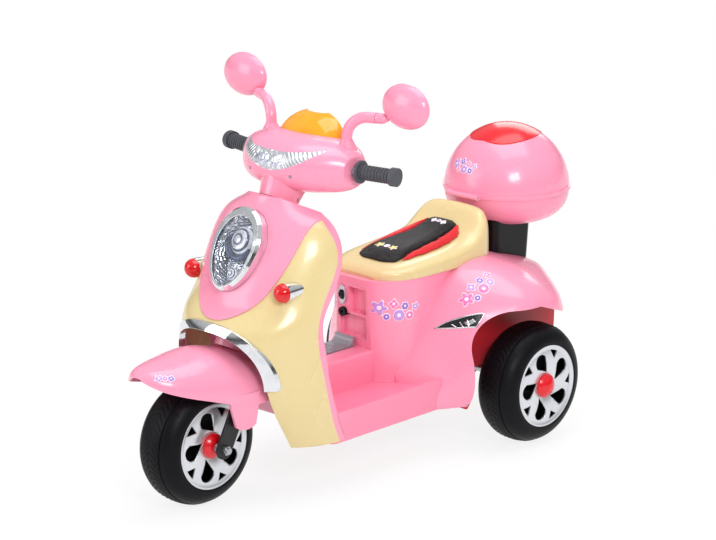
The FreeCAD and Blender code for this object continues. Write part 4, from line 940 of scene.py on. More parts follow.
def copied(node: str, name: str) -> bpy.types.Object:
    """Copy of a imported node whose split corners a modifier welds.

    Args:
        node: The node's name.
        name: The copy's name.

    Returns:
        The new object, at the origin.
    """
    piece = bpy.data.objects.new(name, NODES[node].data.copy())
    bpy.context.scene.collection.objects.link(piece)
    weld = piece.modifiers.new("weld", "WELD")
    weld.merge_threshold = WELD_REACH
    return piece


def fitted(
    piece: bpy.types.Object, finish: Finish, body: str, node: str | None = None
) -> bpy.types.Object:
    """Dresses a made piece and hangs it on a body.

    Args:
        piece: The piece.
        finish: What it wears.
        body: The body that it rides on.
        node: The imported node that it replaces, if any.

    Returns:
        The same piece.
    """
    finish.on(piece)
    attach(piece, body)
    if node:
        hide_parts(node)
    log.info("fitted %s", piece.name)
    return piece


class Form:
    """Surface of a piece, on which prints and trims are laid."""

    CAST = 0.2
    SUNK = -0.0004

    def __init__(self, piece: bpy.types.Object) -> None:
        """Keeps the piece's triangles for looking up."""
        self.tree = BVHTree.FromPolygons(coordinates(piece).tolist(), triangles(piece).tolist())

    def laid(self, points: np.ndarray, way: Sequence[float], gap: float) -> np.ndarray:
        """Moves points along a way onto the surface and then off it; those that miss go to the nearest place.

        Args:
            points: Points near the surface, in an array of any shape.
            way: Direction of the move.
            gap: Height above the surface, or depth if negative.

        Returns:
            The laid points in the same shape.
        """
        ahead = Vector(way).normalized()
        places = []
        for point in points.reshape(-1, 3):
            place, normal, _, _ = self.tree.ray_cast(Vector(point) - self.CAST * ahead, ahead)
            if place is None:
                place, normal, _, _ = self.tree.find_nearest(Vector(point))
            side = -1.0 if normal.dot(ahead) > 0 else 1.0
            places.append(place + side * gap * normal)
        return np.array(places).reshape(points.shape)

    def film(self, flat: np.ndarray, way: Sequence[float], gap: float) -> np.ndarray:
        """Thin closed film over flat rings: laid rings out to its edge, then sunk rings back to its middle.

        Args:
            flat: Rings by angles by three coordinates, from the middle out.
            way: Direction in which it is laid.
            gap: Height above the surface.

        Returns:
            The film's rings.
        """
        return np.concatenate([self.laid(flat, way, gap), self.laid(flat[::-1], way, self.SUNK)])


class Motif(Enum):
    """Shapes of the printed stickers, as petals and how deep the petals are cut, and of small screws."""

    BUBBLE = (0, 0.0)
    FLOWER = (5, 0.30)
    CLOVER = (4, 0.22)
    STARLET = (6, 0.16)
    SCREW = (0, 0.001)

    def layers(self, radius: float, ink: Finish) -> tuple[tuple["Motif", float, float, Finish], ...]:
        """Films of one motif from the lowest up.

        Args:
            radius: The motif's mean radius.
            ink: Its finish.

        Returns:
            Shape, radius, height and finish of each film.
        """
        if self is Motif.SCREW:
            low, high = SCREW_HEIGHTS
            return ((self, radius, low, Finishes.black), (self, radius * 0.7, high, ink))
        low, middle, high = FILM_HEIGHTS
        return (
            (self, radius + PRINT_BORDER, low, Finishes.white),
            (self, radius, middle, ink),
            (Motif.BUBBLE, radius * 0.36, high, Finishes.white),
        )


MotifPlace = tuple[Motif, float, float, float, Finish]


@dataclass
class Sticker:
    """A cluster of generic printed motifs laid on a form."""

    name: str
    body: str
    slot: str
    centre: Point
    right: Point
    normal: Point
    motifs: Sequence[MotifPlace]

    def outline(self, motif: Motif, middle: tuple[float, float], radius: float) -> np.ndarray:
        """Flat grid of one motif: radius times one plus a cosine of the petals, over angle and reach.

        Args:
            motif: The shape.
            middle: Place right of and above the sticker's centre.
            radius: Mean radius.

        Returns:
            Reach by angle by three coordinates.
        """
        out = np.array(self.normal) / np.linalg.norm(self.normal)
        right = np.array(self.right) - np.dot(self.right, out) * out
        right /= np.linalg.norm(right)
        up = np.cross(out, right)
        petals, cut = motif.value
        angle = np.linspace(0, 2 * np.pi, 40, endpoint=False)
        reach = np.linspace(0.03, 1, 6)[:, None]
        shape = radius * (1 + cut * np.cos(petals * angle + 0.5)) * reach
        a = middle[0] + shape * np.cos(angle)
        b = middle[1] + shape * np.sin(angle)
        return np.array(self.centre) + a[..., None] * right + b[..., None] * up

    def lay(self, onto: Form) -> None:
        """Lays every motif with its pale border and dot as thin closed films, one piece for each ink.

        Args:
            onto: The form that carries the sticker.
        """
        inward = [-v for v in self.normal]
        films: dict[Finish, list[np.ndarray]] = {}
        for motif, a, b, radius, ink in self.motifs:
            for kind, size, gap, finish in motif.layers(radius, ink):
                flat = self.outline(kind, (a, b), size)
                films.setdefault(finish, []).append(onto.film(flat, inward, gap))
        for finish, grids in films.items():
            ink_name = finish.material().name.replace(" ", "_")
            fitted(bar(f"{self.name}_{ink_name}", np.stack(grids)), finish, self.body)


def cluster(scale: float, inks: Sequence[Finish], turn: float = 0.0) -> list[MotifPlace]:
    """Places of a loose cluster of motifs about a middle.

    Args:
        scale: Half the cluster's length.
        inks: Inks, used in turn.
        turn: Slant of the cluster in radians.

    Returns:
        Motif, two places, radius and ink of each.
    """
    dot = Motif.BUBBLE
    kinds = (Motif.FLOWER, dot, Motif.CLOVER, dot, Motif.STARLET, dot, Motif.FLOWER)
    along = np.array([-0.78, -0.42, -0.20, 0.12, 0.34, 0.62, 0.86]) * scale
    rise = np.array([0.05, -0.30, 0.30, -0.18, 0.24, -0.16, 0.22]) * scale
    size = np.array([0.26, 0.13, 0.17, 0.24, 0.15, 0.17, 0.13]) * scale
    a = along * math.cos(turn) - rise * math.sin(turn)
    b = along * math.sin(turn) + rise * math.cos(turn)
    return [(kinds[i], a[i], b[i], size[i], inks[i % len(inks)]) for i in range(len(kinds))]


@dataclass
class Wheel:
    """One moulded wheel: tyre, rim covers, hub caps and the tread laid round it."""

    name: str
    centre: Point
    radius: float = 0.116
    crown: float = 0.002
    half_width: float = 0.021
    lugs: int = 60
    lug_rise: float = 0.0011
    lug_inset: float = 0.0012
    lug_slant: float = 1.5
    band_seat: float = 0.0004
    band_depth: float = 0.006
    windows: int = 5
    window_reach: float = 0.052
    window_radius: float = 0.0161
    window_tip: float = 0.0269
    window_swirl: float = math.radians(24)
    cut: tuple[float, float] = (0.0452, 0.0475)
    crease: float = math.radians(32)

    def dress(self) -> None:
        """Dresses the wheel's nodes and adds the tread."""
        TyreSide(f"{self.name} tyre", self.centre).on_nodes(f"{self.name}_tyre")
        Finishes.red.on_nodes(f"{self.name}_hub_cap")
        self.covers()
        self.tread()

    @property
    def body(self) -> str:
        """The body that the wheel's pieces ride on."""
        return "front_wheel" if self.name == "front" else f"{self.name}_wheel"

    def openings(self) -> bpy.types.Object:
        """Cutters for the crown over the windows: teardrops of a tip and an arc, as short bars on both faces.

        Returns:
            One piece with every cutter.
        """
        bars = []
        for i in range(self.windows):
            angle = 2 * np.pi * i / self.windows
            middle = self.window_reach * np.array([np.cos(angle), np.sin(angle)])
            lean = angle + self.window_swirl
            tip = self.window_tip * np.array([np.cos(lean), np.sin(lean)])
            ahead = math.atan2(*(middle - tip)[::-1])
            arc = ahead + np.linspace(-np.pi / 2, np.pi / 2, 41)
            bow = middle + self.window_radius * np.stack([np.cos(arc), np.sin(arc)], axis=1)
            flat = np.vstack([tip, bow])
            x = self.centre[0] + flat[:, 0]
            z = self.centre[2] + flat[:, 1]
            for span in (self.cut, (-self.cut[1], -self.cut[0])):
                bars.append([np.stack([x, np.full(len(x), self.centre[1] + y), z], axis=1) for y in span])
        return bar(f"{self.name}_window_cutters", np.array(bars))

    def covers(self) -> None:
        """Rim covers whose windows are cut clear through the crown of the face."""
        node = f"{self.name}_rim_covers"
        piece = copied(node, f"{self.name}_rim_faces")
        cutter = self.openings()
        cut = piece.modifiers.new("windows", "BOOLEAN")
        cut.operation = "DIFFERENCE"
        cut.solver = "EXACT"
        cut.object = cutter
        applied(piece)
        bpy.data.objects.remove(cutter)
        piece.data.shade_smooth()
        piece.data.set_sharp_from_angle(angle=self.crease)
        rim_paint = RimPaint(f"{self.name} rim paint", paint("e6e8ed"), centre=self.centre)
        fitted(piece, rim_paint, self.body, node)

    def tread(self) -> None:
        """Band of chevron lugs: a ring that rises where a sawtooth of angle and side is past its groove."""
        turn = np.linspace(0, 2 * np.pi, self.lugs * 10, endpoint=False)[:, None]
        across = np.linspace(-1, 1, 21)[None, :]
        side = across * (self.half_width - self.lug_inset)
        phase = np.mod(self.lugs * turn / (2 * np.pi) + self.lug_slant * np.abs(across), 1.0)
        groove = np.abs(phase - 0.5) / 0.5
        lug = 1 - np.clip((groove - 0.52) / 0.26, 0, 1)
        centre_rib = np.clip((0.16 - np.abs(across)) / 0.06, 0, 1)
        raised = lug * (np.abs(across) > 0.12)
        lift = np.where(centre_rib > 0, 0.35 * centre_rib, raised)
        edge = np.clip((1 - np.abs(across)) / 0.08, 0, 1)
        outer = self.radius - self.crown * across**2 - self.band_seat + self.lug_rise * lift * edge
        inner = np.full((turn.shape[0], 2), self.radius - self.band_depth)
        reach = np.hstack([outer, inner])
        under = np.array([[0.9, -0.9]]) * self.half_width + 0 * turn
        sides = np.hstack([np.broadcast_to(side, outer.shape), under])
        x = self.centre[0] + reach * np.cos(turn)
        y = self.centre[1] + sides
        z = self.centre[2] + reach * np.sin(turn)
        piece = outward(grid_piece(f"{self.name}_tread", np.stack([x, y, z], axis=-1), (True, True)))
        fitted(piece, Finishes.tread, self.body)


@dataclass
class FrontEnd:
    """Fork, mudguard, axle and their finishes."""

    badge: Point = (0.5251, 0.0415, 0.2677)
    badge_way: Point = (0.34, 0.62, 0.70)

    def dress(self) -> None:
        """Dresses the front nodes and lays the mudguard's sticker."""
        Finishes.pink.on_nodes("front_mudguard")
        Finishes.frame_black.on_nodes("fork")
        Finishes.zinc.on_nodes("front_axle", "front_axle_fasteners")
        inks = (Finishes.lilac, Finishes.rose, Finishes.violet)
        motifs = [
            (Motif.FLOWER, -0.011, 0.0, 0.0052, inks[0]),
            (Motif.BUBBLE, 0.0, 0.001, 0.0040, inks[1]),
            (Motif.CLOVER, 0.011, 0.002, 0.0046, inks[2]),
        ]
        right = (-0.7, 0.7, 0.0)
        sticker = Sticker("mudguard_print", "steering", "pink", self.badge, right, self.badge_way, motifs)
        sticker.lay(Form(NODES["front_mudguard"]))


@dataclass
class Shield:
    """Leg shield, nose, arch trim, signals and the headlamp."""

    floor: float = 0.043
    lamp_rise: float = 0.365
    ring_inner: float = 0.0285
    ring_outer: float = 0.041
    ring_rises: Sequence[float] = (0.0, 0.0, 0.013, 0.017)
    arc_start: float = 1.12 * math.pi
    arc_span: float = 0.96 * math.pi

    def dress(self) -> None:
        """Dresses the shield's nodes and builds the lamp's dark crescent."""
        cream, pink = Finishes.cream, Finishes.pink
        curve = self.edge_curve()
        shades = (cream.colour, cream.deep, cream.pale)
        rimmed = Rimmed("cream shield", *shades, rim=pink.colour, rim_deep=pink.deep, curve=curve)
        rimmed.on_nodes("leg_shield")
        Finishes.pink.on_nodes("inner_leg_shield", "nose_panel")
        Finishes.chrome.on_nodes("arch_trim", "headlamp_bezel", "signal_stalks")
        Finishes.signal.on_nodes("signal_lenses")
        Finishes.frame_black.on_nodes("steering_head_tube")
        Finishes.bowl.on_nodes("headlamp_reflector")
        Finishes.lamp.on_nodes("headlamp_lamps")
        Finishes.lens.on_nodes("headlamp_lens")
        self.crescent()

    def edge_curve(self) -> tuple[float, ...]:
        """Polynomial of the shield's rear edge over height, fitted to the rearmost points of its levels.

        Returns:
            Factors, from the highest power down.
        """
        places = coordinates(NODES["leg_shield"])
        levels = np.linspace(places[:, 2].min(), places[:, 2].max(), 26)
        band = np.digitize(places[:, 2], levels)
        rear = np.array([min(places[band == i].tolist()) for i in np.unique(band)])
        height = (rear[:, 2] - Rimmed.middle) / Rimmed.span
        return tuple(float(v) for v in np.polyfit(height, rear[:, 0], 8))

    def tilted(self, u: np.ndarray, y: np.ndarray, w: np.ndarray) -> np.ndarray:
        """Points of the steering frame in the shared frame: forward and upward parts turned by the rake.

        Args:
            u: Places forward.
            y: Places to the left.
            w: Places up along the steering axis.

        Returns:
            The points.
        """
        x = AXLE[0] + u * math.cos(RAKE) - w * math.sin(RAKE)
        z = AXLE[2] + u * math.sin(RAKE) + w * math.cos(RAKE)
        return np.stack(np.broadcast_arrays(x, y, z), axis=-1)

    def crescent(self) -> None:
        """Dark crescent under the projector: an arc whose width follows a sine from tip to tip."""
        share = np.linspace(0.02, 0.98, 40)[:, None]
        angle = self.arc_start + self.arc_span * share
        swell = np.sin(np.pi * share)
        width = (self.ring_outer - self.ring_inner) * swell
        reach = self.ring_inner + np.hstack([0 * width, width, width, 0 * width])
        rise = np.array([self.ring_rises])
        y = -reach * np.cos(angle)
        w = self.lamp_rise + reach * np.sin(angle)
        piece = bar("lamp_crescent", self.tilted(self.floor + rise, y, w))
        fitted(piece, Finishes.navy, "chassis")


@dataclass
class RearBody:
    """Footboard, rear body, liner, hatch, switch, vents and their prints."""

    rim_inset: float = 0.0012
    rim_radius: float = 0.0013
    fin_radius: float = 0.0015
    trim_gap: float = 0.0003
    fin_gap: float = 0.0009
    pane_gap: float = 0.0006
    cast_from: float = 0.16
    flank: Point = (-0.0267, 0.0793, 0.2813)
    flank_way: Point = (0.47, 0.88, 0.0)
    haunch: Point = (-0.1704, 0.1571, 0.3123)
    haunch_way: Point = (0.3, 0.6, 0.7)
    fins: Sequence[tuple[float, float]] = ((0.30, 0.50), (0.46, 0.66), (0.62, 0.80))
    pane: Sequence[Point] = ((0.42, 0.40, 0.18), (0.22, 0.64, 0.14), (0.10, 0.42, 0.48), (0.24, 0.12, 0.64))

    def dress(self) -> None:
        """Dresses the body's nodes and builds vent trims and stickers."""
        Finishes.pink.on_nodes("rear_body", "pedestal_hatch")
        # the footboard wears the shell pink darkened as painted shade
        Finishes.pink_low.on_nodes("footboard")
        # painted shade: the wheel well liner is dark red where the shell's underside lies in shadow
        Finishes.red_low.on_nodes("wheel_well_liner")
        Finishes.pedal.on_nodes("accelerator_pedal")
        Finishes.silver.on_nodes("switch_plate")
        Finishes.black.on_nodes("power_rocker", "charging_socket", "box_mount", "battery", "gearbox")
        Finishes.smoked.on_nodes("side_vents")
        Finishes.frame_black.on_nodes("axle_carrier")
        Finishes.zinc.on_nodes("rear_axle", "rear_axle_fasteners", "motor")
        for hand, side in HANDS:
            self.vent_trim(hand, side)
            self.stickers(hand, side)

    def outline(self, flat: np.ndarray) -> np.ndarray:
        """Outline round flat points: their convex hull, walked once round and drawn in, at even steps.

        Args:
            flat: Points with two coordinates.

        Returns:
            Points of the outline, in order.
        """
        middle = flat.mean(axis=0)
        way = np.linspace(0, 2 * np.pi, 720, endpoint=False)
        aims = np.stack([np.cos(way), np.sin(way)], axis=1)
        farthest = np.argmax((flat - middle) @ aims.T, axis=0)
        corners = flat[farthest[np.diff(farthest, prepend=farthest[-1]) != 0]]
        closed = np.vstack([corners, corners[:1]])
        walked = np.concatenate([[0.0], np.cumsum(np.linalg.norm(np.diff(closed, axis=0), axis=1))])
        steps = np.linspace(0, walked[-1], 72, endpoint=False)
        edge = np.stack([np.interp(steps, walked, closed[:, i]) for i in range(2)], axis=1)
        inward = edge.mean(axis=0) - edge
        return edge + self.rim_inset * inward / np.linalg.norm(inward, axis=1, keepdims=True)

    def vent_trim(self, hand: str, side: int) -> None:
        """Bright rim, fins and pane of one vent, laid on the vent's face.

        Args:
            hand: The side's name.
            side: One for the left, minus one for the right.
        """
        form = Form(NODES["side_vents"])
        places = coordinates(NODES["side_vents"])
        rim = self.outline(places[places[:, 1] * side > 0][:, [0, 2]])
        tip = rim[np.argmax(rim[:, 0])]
        top = rim[np.argmax(rim[:, 1] - 0.5 * rim[:, 0])]
        low = rim[np.argmin(rim[:, 1] + 0.8 * rim[:, 0])]
        inward = (0.0, -side, 0.0)

        def raised(flat: np.ndarray) -> np.ndarray:
            y = np.full(flat.shape[:-1], self.cast_from * side)
            return np.stack([flat[..., 0], y, flat[..., 1]], axis=-1)

        loop_path = form.laid(raised(rim), inward, self.trim_gap)
        pieces = [tube(f"vent_rim_{hand}", loop_path, self.rim_radius, 8, True)]
        line = np.linspace(0.06, 0.94, 9)[:, None]
        for i, (upper, lower) in enumerate(self.fins):
            start = tip + upper * (top - tip)
            end = tip + lower * (low - tip)
            path = form.laid(raised(start + line * (end - start)), inward, self.fin_gap)
            pieces.append(tube(f"vent_fin_{hand}_{i}", path, self.fin_radius, 8))
        corners = np.array(self.pane) @ np.array([tip, top, low])
        around = np.linspace(0, len(corners), 32, endpoint=False)
        loop = np.vstack([corners, corners[:1]])
        edge = np.stack([np.interp(around, np.arange(len(loop)), loop[:, i]) for i in range(2)], axis=1)
        middle = edge.mean(axis=0)
        rings = middle + np.linspace(0.05, 1, 5)[:, None, None] * (edge - middle)
        film = form.film(raised(rings), inward, self.pane_gap)
        pieces.append(bar(f"vent_pane_{hand}", film))
        for piece in pieces:
            fitted(piece, Finishes.chrome, "chassis")

    def stickers(self, hand: str, side: int) -> None:
        """Two clusters of printed motifs on one side of the body.

        Args:
            hand: The side's name.
            side: One for the left, minus one for the right.
        """
        inks = (Finishes.lilac, Finishes.violet, Finishes.rose)
        form = Form(NODES["rear_body"])
        plan = (
            ("flank", self.flank, (-1.0, 0.0, 0.0), self.flank_way, cluster(0.044, inks, -0.15)),
            ("haunch", self.haunch, (-1.0, 0.0, 0.42), self.haunch_way, cluster(0.040, inks[::-1])),
        )
        for name, place, right, way, motifs in plan:
            centre, normal = ((v[0], v[1] * side, v[2]) for v in (place, way))
            across = tuple(side * v for v in right)
            Sticker(f"{name}_print_{hand}", "chassis", "pink", centre, across, normal, motifs).lay(form)


@dataclass
class Saddle:
    """Seat base with its padded centre and side bolsters."""

    voxel: float = 0.0035
    pressure: float = 4.0
    frames: int = 20
    cap: float = 0.0035
    inset: float = 0.0008
    seat_line: float = 0.003
    seam_inset: float = 0.0055
    stitch_count: int = 44
    stitch_gap: float = 0.0001
    stitch_radius: float = 0.00055
    cast_from: float = 0.44
    seam_front: float = 0.052
    seam_rear: float = 0.036
    nose: float = -0.0395
    tail: float = -0.2455
    print_place: Point = (-0.078, 0.0, 0.400)
    rear_print_place: Point = (-0.2247, 0.004, 0.399)

    def dress(self) -> None:
        """Dresses the base and makes the cushions with their stitches."""
        Finishes.cream.on_nodes("seat_base")
        pad = self.cushion("seat_pad", "seat_pad_cushion", Finishes.seat_black)
        self.cushion("seat_bolsters", "seat_bolster_cushions", Finishes.seat_red)
        for hand, side in HANDS:
            self.stitches(pad, hand, side)
        inks = (Finishes.yellow, Finishes.white, Finishes.yellow)
        motifs = [
            (Motif.FLOWER, -0.018, 0.0, 0.0066, inks[0]),
            (Motif.BUBBLE, 0.0, 0.001, 0.0048, inks[1]),
            (Motif.FLOWER, 0.017, 0.0, 0.0058, inks[2]),
        ]
        rear_motifs = [
            (Motif.CLOVER, -0.012, 0.0, 0.0042, Finishes.white),
            (Motif.BUBBLE, 0.0, 0.001, 0.0034, Finishes.lilac),
            (Motif.CLOVER, 0.012, 0.0, 0.0042, Finishes.white),
        ]
        form = Form(pad)
        for name, place, shown in (
            ("pad_print", self.print_place, motifs),
            ("pad_rear_print", self.rear_print_place, rear_motifs),
        ):
            Sticker(name, "chassis", "black_plastic", place, (0, 1, 0), (0.2, 0, 1), shown).lay(form)

    def cushion(self, node: str, name: str, finish: Finish) -> bpy.types.Object:
        """Stuffed piece from a node's solid: remeshed, drawn in, swollen by cloth pressure and smoothed.

        Args:
            node: The node that it stands for.
            name: The piece's name.
            finish: What it wears.

        Returns:
            The finished cushion.
        """
        piece = copied(node, name)
        remesh = piece.modifiers.new("remesh", "REMESH")
        remesh.mode = "VOXEL"
        remesh.voxel_size = self.voxel
        applied(piece)
        places = coordinates(piece)
        normals = np.empty(len(piece.data.vertices) * 3, np.float32)
        piece.data.vertices.foreach_get("normal", normals)
        rest = places - self.inset * normals.reshape(-1, 3)
        piece.data.vertices.foreach_set("co", rest.astype(np.float32).ravel())
        self.swell(piece, rest)
        piece.data.shade_smooth()
        smooth = piece.modifiers.new("smooth", "SMOOTH")
        smooth.factor = 0.5
        smooth.iterations = 3
        surface = piece.modifiers.new("surface", "SUBSURF")
        surface.levels = 1
        surface.render_levels = 1
        applied(piece)
        piece.data.shade_smooth()
        fitted(piece, finish, "chassis", node)
        return piece

    def swell(self, piece: bpy.types.Object, rest: np.ndarray) -> None:
        """Swells a piece by cloth pressure, its underside held, with each point's way capped.

        Args:
            piece: The closed piece.
            rest: Its points before swelling.
        """
        low = rest[:, 2] < rest[:, 2].min() + self.seat_line
        held = piece.vertex_groups.new(name="held")
        held.add(np.flatnonzero(low).tolist(), 1.0, "REPLACE")
        cloth = piece.modifiers.new("cloth", "CLOTH")
        settings = cloth.settings
        settings.use_pressure = True
        settings.uniform_pressure_force = self.pressure
        settings.effector_weights.gravity = 0.0
        settings.vertex_group_mass = "held"
        settings.quality = 5
        cloth.point_cache.frame_start = 1
        cloth.point_cache.frame_end = self.frames
        scene = bpy.context.scene
        for step in range(1, self.frames + 1):
            scene.frame_set(step)
        applied(piece)
        scene.frame_set(1)
        way = coordinates(piece) - rest
        size = np.linalg.norm(way, axis=1, keepdims=True)
        capped = rest + way * np.minimum(1.0, self.cap / np.maximum(size, 1e-9))
        piece.data.vertices.foreach_set("co", capped.astype(np.float32).ravel())
        piece.data.update()

    def stitches(self, pad: bpy.types.Object, hand: str, side: int) -> None:
        """Row of stitches beside one seam: short capsules carried along a line pressed on the pad.

        Args:
            pad: The centre cushion.
            hand: The side's name.
            side: One for the left, minus one for the right.
        """
        share = np.linspace(0.06, 0.94, self.stitch_count * 2)
        x = self.nose + share * (self.tail - self.nose)
        y = side * (self.seam_front + share * (self.seam_rear - self.seam_front) - self.seam_inset)
        above = np.stack([x, y, np.full(len(x), self.cast_from)], axis=1)
        path = Form(pad).laid(above, (0, 0, -1), self.stitch_gap)
        starts = path[0::2]
        ends = path[0::2] + 0.86 * (path[1::2] - path[0::2])
        ahead = ends - starts
        length = np.linalg.norm(ahead, axis=1, keepdims=True)
        ahead /= length
        sideways = np.cross(ahead, np.array([0.0, 0.0, 1.0]))
        upward = np.cross(sideways, ahead)
        along = np.array([0.0, 0.12, 0.5, 0.88, 1.0])
        thick = self.stitch_radius * np.array([0.35, 0.9, 1.0, 0.9, 0.35])
        turn = np.linspace(0, 2 * np.pi, 6, endpoint=False)
        ring = np.cos(turn)[:, None] * sideways[:, None, None, :]
        ring = ring + np.sin(turn)[:, None] * upward[:, None, None, :]
        spine = starts[:, None, :] + along[None, :, None] * (length * ahead)[:, None, :]
        points = spine[:, :, None, :] + thick[None, :, None, None] * ring
        fitted(bar(f"seat_stitches_{hand}", points), Finishes.thread, "chassis")


@dataclass
class TopBox:
    """Lidded rear box with its insert and print."""

    print_place: Point = (-0.3141, -0.0155, 0.4957)
    print_way: Point = (0.92, -0.12, 0.38)

    def dress(self) -> None:
        """Dresses the box's nodes and lays its print."""
        Finishes.pink.on_nodes("box_tub", "box_lid")
        Finishes.red.on_nodes("lid_insert")
        Finishes.zinc.on_nodes("box_hinge_pin")
        inks = (Finishes.lilac, Finishes.rose, Finishes.violet)
        motifs = cluster(0.030, inks, -0.05)
        right = (0.1, 1.0, 0.0)
        sticker = Sticker("lid_print", "lid", "pink", self.print_place, right, self.print_way, motifs)
        sticker.lay(Form(NODES["box_lid"]))


@dataclass
class HandlebarHead:
    """Head covers, lamp cover, windscreen, bar, grips and mirrors."""

    screws: Sequence[tuple[Point, Point]] = (
        ((0.2267, 0.0520, 0.5804), (0.94, 0.28, -0.21)),
        ((0.1917, 0.0367, 0.5288), (-0.18, 0.94, -0.28)),
    )

    screw_radius: float = 0.0030
    neck_start: Point = (0.1049, 0.1481, 0.684)
    neck_way: Point = (-0.405, 0.914, 0.0)
    neck: Sequence[tuple[float, float]] = (
        (0.0006, 0.0094),
        (0.0010, 0.0099),
        (0.0080, 0.0098),
        (0.0130, 0.0094),
        (0.0170, 0.0084),
        (0.0200, 0.0064),
        (0.0212, 0.0034),
    )

    def dress(self) -> None:
        """Dresses the head's nodes and adds its screws and the mirrors' necks."""
        for hand, side in HANDS:
            self.mirror_neck(hand, side)
        Finishes.pink.on_nodes("head_cover_upper", "head_cover_lower", "mirror_arms")
        Finishes.pink.on_nodes("mirror_left_shell", "mirror_right_shell")
        Finishes.ribbed.on_nodes("head_lamp_lens")
        Finishes.amber.on_nodes("windscreen")
        Finishes.zinc.on_nodes("handlebar")
        Finishes.grip.on_nodes("handlebar_grips")
        Finishes.mirror.on_nodes("mirror_left_glass", "mirror_right_glass")
        form = Form(NODES["head_cover_lower"])
        for i, (place, way) in enumerate(self.screws):
            for hand, side in HANDS:
                spot = (place[0], place[1] * side, place[2])
                out = (way[0], way[1] * side, way[2])
                name = f"head_screw_{hand}_{i}"
                motifs = [(Motif.SCREW, 0.0, 0.0, self.screw_radius, Finishes.zinc)]
                Sticker(name, "steering", "steel", spot, (0.3, 1.0, 0.1), out, motifs).lay(form)


    def mirror_neck(self, hand: str, side: int) -> None:
        """Neck of one mirror's shell: rings of given reach and radius about the mirror's own axis.

        Args:
            hand: The side's name.
            side: One for the left, minus one for the right.
        """
        way = np.array(self.neck_way) / np.linalg.norm(self.neck_way)
        across = np.cross(way, np.array([0.0, 0.0, 1.0]))
        reach, radius = np.array(self.neck).T
        turn = np.linspace(0, 2 * np.pi, 40, endpoint=False)
        ring = np.cos(turn)[:, None] * across + np.sin(turn)[:, None] * np.array([0.0, 0.0, 1.0])
        points = np.array(self.neck_start) + reach[:, None, None] * way + radius[:, None, None] * ring
        points *= np.array([1.0, side, 1.0])
        fitted(bar(f"mirror_neck_{hand}", points), Finishes.pink, f"{hand}_mirror")


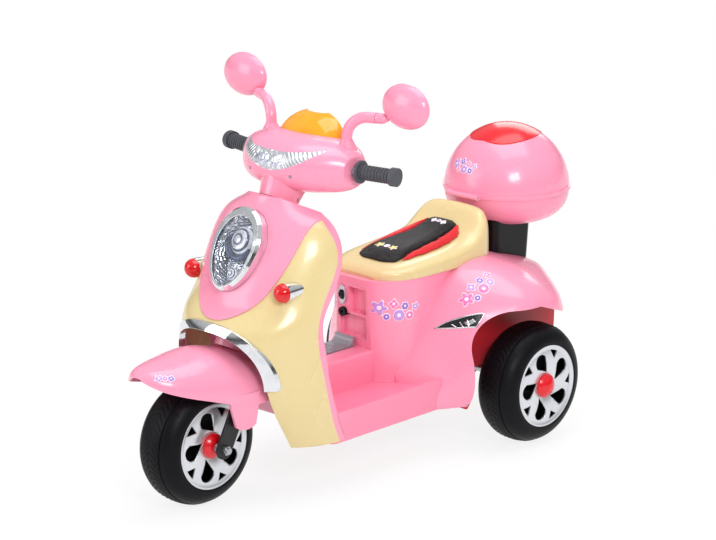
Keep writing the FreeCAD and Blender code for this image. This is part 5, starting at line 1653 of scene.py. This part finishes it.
@dataclass
class Studio:
    """Pale floor, soft lamps, white surround and the camera."""

    heading: float = math.radians(44.465)
    elevation: float = math.radians(16.0)
    distance: float = 5.0
    target: Point = (0.0545, 0.0, 0.35)
    focal_pixels: float = 2671.46
    image_width: float = 716.0
    aim_right: float = 21.34
    aim_up: float = 6.20
    sensor: float = 36.0
    floor_half: float = 30.0
    floor_drop: float = 0.0012
    ambient: float = 0.62
    boxes: Sequence[tuple[str, Point, float, float, float]] = (
        ("key", (1.6, 3.0, 2.3), 1.3, 1.0, 62.0),
        ("fill", (3.0, -1.6, 1.5), 1.8, 1.8, 34.0),
        ("top", (-0.4, 0.2, 3.2), 2.4, 2.4, 52.0),
        ("rear", (-2.6, -1.4, 1.8), 1.6, 1.6, 22.0),
    )
    sky: tuple[tuple[float, float], ...] = ((0.02, 0.35), (0.16, 0.12), (0.30, 0.75), (0.60, 1.0))

    def build(self) -> None:
        """Builds floor, light and camera."""
        self.floor()
        self.surround()
        self.lamps()
        self.camera()
        scene = bpy.context.scene
        scene.view_settings.view_transform = "Standard"

    def floor(self) -> None:
        """Wide pale floor that the camera sees as white with a soft shadow."""
        side = np.array([-self.floor_half, self.floor_half])
        x, y = np.meshgrid(side, side, indexing="ij")
        piece = grid_piece("studio_floor", np.stack([x, y, np.full_like(x, -self.floor_drop)], axis=-1))
        g = Graph("studio floor")
        cloud = g.noise(0.8, 2.0)
        shade = g.mix(cloud * 0.1, paint("fafafa"), paint("f4f4f4"))
        matt = g.node("ShaderNodeBsdfDiffuse", None, {"Color": shade})
        glow = g.node("ShaderNodeEmission", None, {"Color": WHITE, "Strength": 1.0})
        rays = g.node("ShaderNodeLightPath")
        seen = Value(g, rays.outputs["Is Camera Ray"]).most(Value(g, rays.outputs["Is Glossy Ray"]))
        seen = seen.most(Value(g, rays.outputs["Is Transmission Ray"]))
        x, y, _ = g.axes()
        far = (x * x + y * y).root().eased(0.7, 1.8)
        piece.data.materials.append(g.end(g.blend(seen * (0.84 + 0.16 * far), matt, glow)))

    def surround(self) -> None:
        """Soft light from all round, darker towards the horizon, and white where the camera looks."""
        g = Graph("studio", world=True)
        way = Value(g, g.node("ShaderNodeTexCoord").outputs["Generated"])
        rise = Value(g, g.node("ShaderNodeSeparateXYZ", None, {0: way}).outputs["Z"])
        tone = g.node("ShaderNodeValToRGB", None, {0: rise})
        for place, grey in self.sky:
            stop = tone.color_ramp.elements.new(place)
            stop.color = (grey, grey, grey, 1.0)
        sky = Value(g, tone.outputs[0])
        light = g.node("ShaderNodeBackground", None, {"Color": sky, "Strength": self.ambient})
        white = g.node("ShaderNodeBackground", None, {"Color": WHITE, "Strength": 1.0})
        seen = Value(g, g.node("ShaderNodeLightPath").outputs["Is Camera Ray"])
        bpy.context.scene.world = g.end(g.blend(seen, light, white))

    def lamps(self) -> None:
        """Four soft boxes: a key beside the camera, a fill, a top light and one from behind."""
        for name, place, wide, high, power in self.boxes:
            data = bpy.data.lights.new(name, "AREA")
            data.shape = "RECTANGLE"
            data.size = wide
            data.size_y = high
            data.energy = power
            lamp = bpy.data.objects.new(name, data)
            lamp.location = place
            way = Vector(self.target) - Vector(place)
            lamp.rotation_euler = way.to_track_quat("-Z", "Y").to_euler()
            bpy.context.scene.collection.objects.link(lamp)

    def camera(self) -> None:
        """Camera at the photograph's heading, aimed so that no lens shift is needed."""
        h, e = self.heading, self.elevation
        back = Vector((math.cos(e) * math.cos(h), math.cos(e) * math.sin(h), math.sin(e)))
        right = Vector((-math.sin(h), math.cos(h), 0.0))
        up = back.cross(right)
        aside = (right * self.aim_right + up * self.aim_up) / self.focal_pixels
        ahead = (aside - back).normalized()
        side = ahead.cross(up).normalized()
        rise = side.cross(ahead)
        data = bpy.data.cameras.new("camera")
        data.sensor_width = self.sensor
        data.lens = self.focal_pixels / self.image_width * self.sensor
        data.clip_end = 100.0
        camera = bpy.data.objects.new("camera", data)
        turn = Matrix((side, rise, -ahead)).transposed().to_4x4()
        camera.matrix_world = Matrix.Translation(Vector(self.target) + back * self.distance) @ turn
        bpy.context.scene.collection.objects.link(camera)
        bpy.context.scene.camera = camera


def main() -> None:
    """Builds every sub-assembly in order."""
    logging.basicConfig(level=logging.INFO, format="%(name)s: %(message)s")
    Wheel("front", AXLE).dress()
    for hand, side in HANDS:
        Wheel(f"rear_{hand}", (REAR_AXLE[0], REAR_AXLE[1] * side, REAR_AXLE[2])).dress()
    for assembly in (FrontEnd(), Shield(), RearBody(), Saddle(), TopBox(), HandlebarHead()):
        assembly.dress()
    Studio().build()
    bare = [name for name, node in NODES.items() if not node.data.materials]
    if bare:
        log.warning("undressed nodes: %s", bare)


if __name__ == "__main__":
    main()
